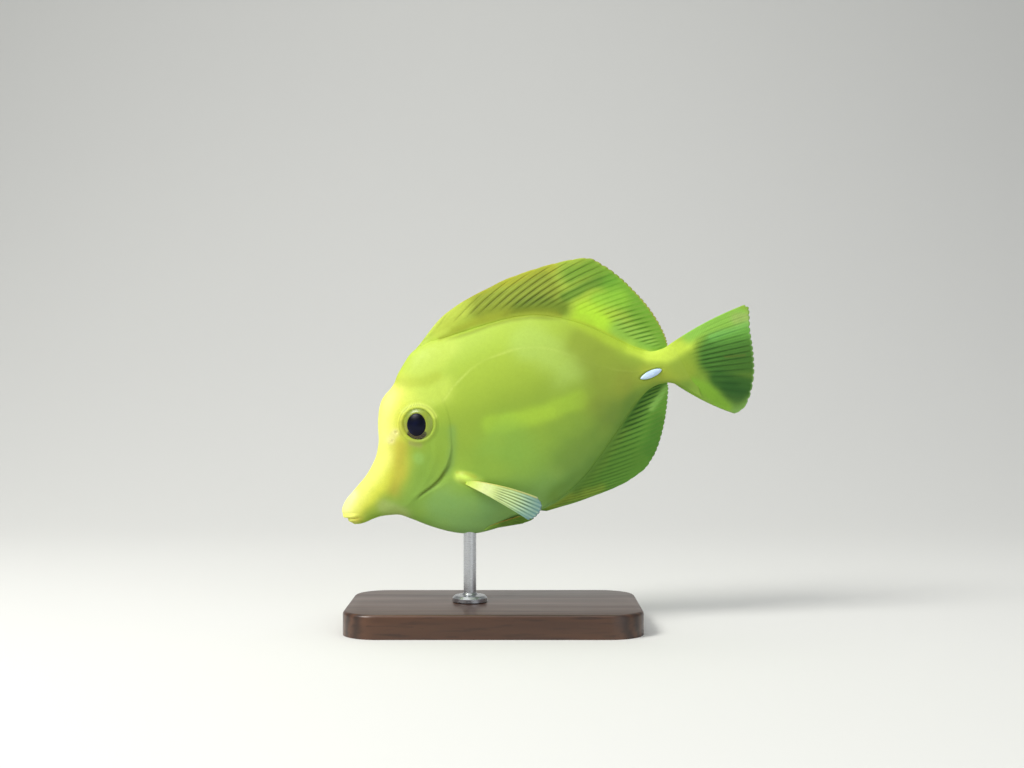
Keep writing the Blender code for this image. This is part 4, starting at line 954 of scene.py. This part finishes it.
def eyeMaterials():
    iris, tree, shader = startMaterial("irisGloss", 0.34, coat=0.15, softness=0.1)
    place = fishPlace(tree)
    colour = readMark(tree, "paint", "Color")
    reach = readMark(tree, "fromPupil")
    colour = tinge(tree, colour, reach, 0.12, 0.0, 0.6, tint(110, 84, 30))
    fibres = noiseOf(tree, place, 1.6, 4)
    dress(tree, shader, tinge(tree, colour, fibres, 0.4, 0.7, 0.35, tint(120, 146, 50)))
    bumpFrom(tree, shader, fibres, 0.00004, 0.4)
    pupil, tree, shader = startMaterial("pupilGloss", 0.35, specular=0.14)
    depth = noiseOf(tree, fishPlace(tree), 0.25, 1)
    dress(tree, shader, tinge(tree, tint(3, 5, 14), depth, 0.35, 0.65, 1.0, tint(10, 16, 46)))
    return iris, pupil


def makeBall(name, segments, rings):  # a ball of radius 1, its pole towards +z, and its vertices
    ball = addPiece(bpy.ops.mesh.primitive_uv_sphere_add, name,
                    segments=segments, ring_count=rings, radius=1)
    ball.data.name = name
    return ball, verticesOf(ball)


def makeEyes():
    iris, pupil = eyeMaterials()
    for side, word in ((-1, "Left"), (1, "Right")):
        centre, outward, up, across = eyeTurn(side)
        axes = np.array([across, up, outward])
        acrossHalf, uprightHalf = eye["pupil"]
        offset = Vector((eye["pupilOffset"][0], 0, eye["pupilOffset"][1]))
        offAcross, offUp = offset.dot(across), offset.dot(up)
        ball, points = makeBall("eye" + word, 128, 96)
        points = points * np.array([eye["radius"], eye["radius"], eye["depth"]])
        inPupil = np.hypot((points[:, 0] - offAcross) / acrossHalf,
                           (points[:, 1] - offUp) / uprightHalf)
        dish = eye["dish"] * step((eye["dishEdge"] - inPupil) / (eye["dishEdge"] - 1))
        points[:, 2] -= np.where(points[:, 2] > 0, dish, 0)
        places = points @ axes + np.array(centre)
        placeVertices(ball, places)
        mark(ball, "fromPupil", np.clip((inPupil - 1) / 0.62, 0, 1))
        plain = np.broadcast_to(np.array(tint(*eye["iris"])), (len(places), 4))
        spray(ball, sprayed(plain, places[:, 0], places[:, 2], airbrush["eye"]))
        closeSeams(ball)
        finishPiece(ball, "iris", iris, "eye_" + word.lower())
        lens, points = makeBall("pupil" + word, 96, 48)
        x, y = points[:, 0] * acrossHalf + offAcross, points[:, 1] * uprightHalf + offUp
        over = eye["depth"] * np.sqrt(np.clip(1 - (x**2 + y**2) / eye["radius"] ** 2, 0, 1))
        edge = np.clip(1 - points[:, 0] ** 2 - points[:, 1] ** 2, 0, 1)
        floor = over - eye["dish"] * eye["sunk"]
        dome = floor + (eye["pupilProud"] + eye["dish"] * eye["sunk"]) * np.sqrt(edge)
        z = np.where(points[:, 2] >= 0, dome, floor - eye["pupilBack"] * np.sqrt(edge))
        placeVertices(lens, np.stack([x, y, z], -1) @ axes + np.array(centre))
        closeSeams(lens)
        finishPiece(lens, "pupil", pupil, "pupil_" + word.lower())


makeEyes()
print("eyes done")


# The white blade folded into its groove on each side of the tail stalk

blade = {"at": skin["blade"][:2], "length": 8.0, "height": 2.5, "proud": 0.95, "lift": 0.15,
         "lean": skin["blade"][4], "sharp": 0.5, "blunt": 0.1}


def makeBlades():
    horn, tree, shader = startMaterial("whiteHorn", 0.34, coat=0.3, coatRoughness=0.15,
                                       softness=0.2)
    streaks = noiseOf(tree, fishPlace(tree, (3.0, 1.0, 1.0)), 1.4, 3)
    white, blue = tint(206, 228, 255), tint(170, 198, 244)
    dress(tree, shader, tinge(tree, white, streaks, 0.35, 0.65, 0.5, blue))
    bumpFrom(tree, shader, streaks, 0.00004, 0.4)
    middleX, middleZ = blade["at"]
    for side, word in ((-1, "Left"), (1, "Right")):
        piece, points = makeBall("tailBlade" + word, 64, 48)
        along = points[:, 2]  # the pole becomes the point of the blade
        ring = np.hypot(points[:, 0], points[:, 1])
        thin = np.where(along < 0, ring ** blade["sharp"], ring ** blade["blunt"])  # sharp in front
        x = middleX + blade["length"] / 2 * along
        upward, outward = points[:, 0] * thin, points[:, 1] * thin
        z = middleZ + blade["lean"] * (x - middleX) + blade["height"] / 2 * upward
        y = flankWidth(x, np.full_like(x, middleZ)) + blade["lift"] + blade["proud"] * outward
        placeVertices(piece, np.stack([x, side * y, z], -1))
        closeSeams(piece)
        finishPiece(piece, "spine", horn, "tail_spine_" + word.lower())


makeBlades()
print("blades done")


# The display stand: a flat wooden base and one steel rod

stand = {
    "corner": 0.012, "cornerSteps": 14, "chamfer": 0.0012, "chamferSteps": 4,
    "footRadius": 0.006, "footHeight": 0.0012,
    # Radius and height of each ring above the foot. The last is the rod's own radius
    "collar": ((0.0052, 0.0008), (0.0028, 0.0011), (0.0022, 0.0018)),
    "tipHeight": 0.0004, "tipShare": 0.82,
}
nearEdge = 1e-5  # metres


def woodMaterial():
    wood, tree, shader = startMaterial("darkWood", 0.4, coat=0.3, coatRoughness=0.25)
    place = objectPlace(tree, Scale=(9, 95, 95))
    swirl, pores = noiseOf(tree, place, 1.2, 4), noiseOf(tree, place, 9.0, 3)
    grain = addNode(tree, "ShaderNodeTexWave", wave_type="BANDS", bands_direction="Y")
    feedAll(tree, grain, Vector=place, Scale=1.1, Distortion=5.0, Detail=3.0)
    colour = blendColour(tree, grain.outputs["Fac"], tint(58, 36, 24), tint(96, 62, 40))
    colour = tinge(tree, colour, swirl, 0.3, 0.7, 0.5, tint(44, 26, 18))
    colour = tinge(tree, colour, pores, 0.55, 0.7, 0.5, tint(30, 18, 12))
    dress(tree, shader, colour, swirl, 0.34, 0.48)
    bumpFrom(tree, shader, pores, 0.00005, 0.3)
    return wood


def steelMaterial():
    steel, tree, shader = startMaterial("brushedSteel", 0.28, metallic=1.0)
    brushed = noiseOf(tree, objectPlace(tree, Scale=(400, 400, 9000)), 1.0, 3)
    colour = tinge(tree, tint(184, 186, 190), brushed, 0.3, 0.7, 1.0, tint(200, 202, 206))
    dress(tree, shader, colour, brushed, 0.22, 0.36)
    bumpFrom(tree, shader, brushed, 0.000004, 0.25)
    return steel


def makeStand():
    low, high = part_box("stand_base")
    base = addPiece(bpy.ops.mesh.primitive_cube_add, "standBase",
                    size=1, location=(low + high) / 2, scale=high - low)
    bpy.ops.object.transform_apply(location=True, rotation=True, scale=True)
    editWhere(base, "EDGE", lambda ends: abs(ends[0].z - ends[1].z) > 0.001)
    bpy.ops.mesh.bevel(offset=stand["corner"], offset_type="OFFSET", segments=stand["cornerSteps"])
    editWhere(base, "EDGE", lambda ends: min(end.z for end in ends) > high.z - nearEdge)
    bpy.ops.mesh.bevel(offset=stand["chamfer"], offset_type="OFFSET",
                       segments=stand["chamferSteps"])
    bpy.ops.object.mode_set(mode="OBJECT")
    bpy.ops.object.shade_smooth_by_angle(angle=math.radians(30))
    finishPiece(base, "wood", woodMaterial(), "stand_base")

    rodLow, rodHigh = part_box("stand_rod")
    middle = (rodLow + rodHigh) / 2
    radius, foot = stand["footRadius"], stand["footHeight"]
    rod = addPiece(bpy.ops.mesh.primitive_cylinder_add, "standRod", vertices=64, radius=radius,
                   depth=foot, location=(middle.x, middle.y, rodLow.z + foot / 2))
    bpy.ops.object.transform_apply(location=True, rotation=True, scale=True)
    editWhere(rod, "FACE", lambda ends: min(end.z for end in ends) > rodLow.z + foot - nearEdge)

    def extrude(rise, size):  # the selected cap moves up and changes its size
        bpy.ops.mesh.extrude_region_move(TRANSFORM_OT_translate={"value": (0, 0, rise)})
        if size != 1:
            bpy.ops.transform.resize(value=(size, size, 1), center_override=(middle.x, middle.y, 0))

    height = 0.0
    for newRadius, newHeight in stand["collar"]:
        extrude(newHeight - height, newRadius / radius)
        radius, height = newRadius, newHeight
    extrude(rodHigh.z - rodLow.z - foot - height - stand["tipHeight"], 1)
    extrude(stand["tipHeight"], stand["tipShare"])
    bpy.ops.object.mode_set(mode="OBJECT")
    bpy.ops.object.shade_smooth_by_angle(angle=math.radians(35))
    finishPiece(rod, "steel", steelMaterial(), "stand_rod")


makeStand()
print("stand done")


# Studio: a pale sweep, soft lights and the camera at the photo's angle and framing

studio = {
    "lens": 50.0, "sensor": 36.0, "camera": (0.0062, -0.490, 0.083),
    "floor": tint(226, 226, 222), "floorShade": tint(216, 216, 214),
    "sweepMiddle": (0, -0.25, 0), "sweepSize": (6, 2.5, 1), "sweepHeight": 2.2, "sweepBend": 0.7,
    "aim": (0.0, 0.0, 0.07),
    "lights": [("keyLight", (-0.52, -0.38, 0.66), 0.32, 7.0, (1.0, 0.99, 0.95)),
               ("fillLight", (0.55, -0.75, 0.30), 0.7, 1.6, (0.92, 0.97, 1.0)),
               ("topLight", (0.05, 0.1, 0.95), 0.9, 4.0, (1.0, 1.0, 1.0))],
    "room": (0.92, 0.95, 1.0, 1), "roomStrength": 0.26,
}


def makeSweep():
    pale, tree, shader = startMaterial("paleSweep", 0.9)
    soft = noiseOf(tree, objectPlace(tree), 2.0, 2)
    dress(tree, shader, tinge(tree, studio["floor"], soft, 0.3, 0.7, 0.15, studio["floorShade"]))
    sweep = addPiece(bpy.ops.mesh.primitive_plane_add, "paleSweep",
                     size=1, location=studio["sweepMiddle"], scale=(1, 1, 1))
    bpy.ops.transform.resize(value=studio["sweepSize"])
    bpy.ops.object.transform_apply(location=True, rotation=True, scale=True)
    back = max(v.co.y for v in sweep.data.vertices) - 1e-4
    editWhere(sweep, "EDGE", lambda ends: all(end.y > back for end in ends))
    rise = (0, 0, studio["sweepHeight"])
    bpy.ops.mesh.extrude_region_move(TRANSFORM_OT_translate={"value": rise})
    editWhere(sweep, "EDGE", lambda ends: all(end.y > back and end.z < 1e-4 for end in ends))
    bpy.ops.mesh.bevel(offset=studio["sweepBend"], offset_type="OFFSET", segments=24)
    bpy.ops.object.mode_set(mode="OBJECT")
    bpy.ops.object.shade_smooth()
    sweep.data.materials.append(pale)


def makeStudio():
    makeSweep()
    for name, place, size, power, colour in studio["lights"]:
        light = addPiece(bpy.ops.object.light_add, name, type="AREA", location=place)
        light.data.size = size
        light.data.energy = power
        light.data.color = colour
        toFish = Vector(studio["aim"]) - Vector(place)
        light.rotation_euler = toFish.to_track_quat("-Z", "Y").to_euler()

    world = bpy.data.worlds.new("softRoom")
    world.use_nodes = True
    background = world.node_tree.nodes["Background"]
    background.inputs["Color"].default_value = studio["room"]
    background.inputs["Strength"].default_value = studio["roomStrength"]
    bpy.context.scene.world = world

    camera = addPiece(bpy.ops.object.camera_add, "photoCamera",
                      location=studio["camera"], rotation=(math.radians(90), 0, 0))
    camera.data.lens = studio["lens"]
    camera.data.sensor_width = studio["sensor"]
    camera.data.clip_start = 0.01
    bpy.context.scene.camera = camera
    # Standard keeps the yellow as strong as it is
    bpy.context.scene.view_settings.view_transform = "Standard"


makeStudio()
print("studio done")
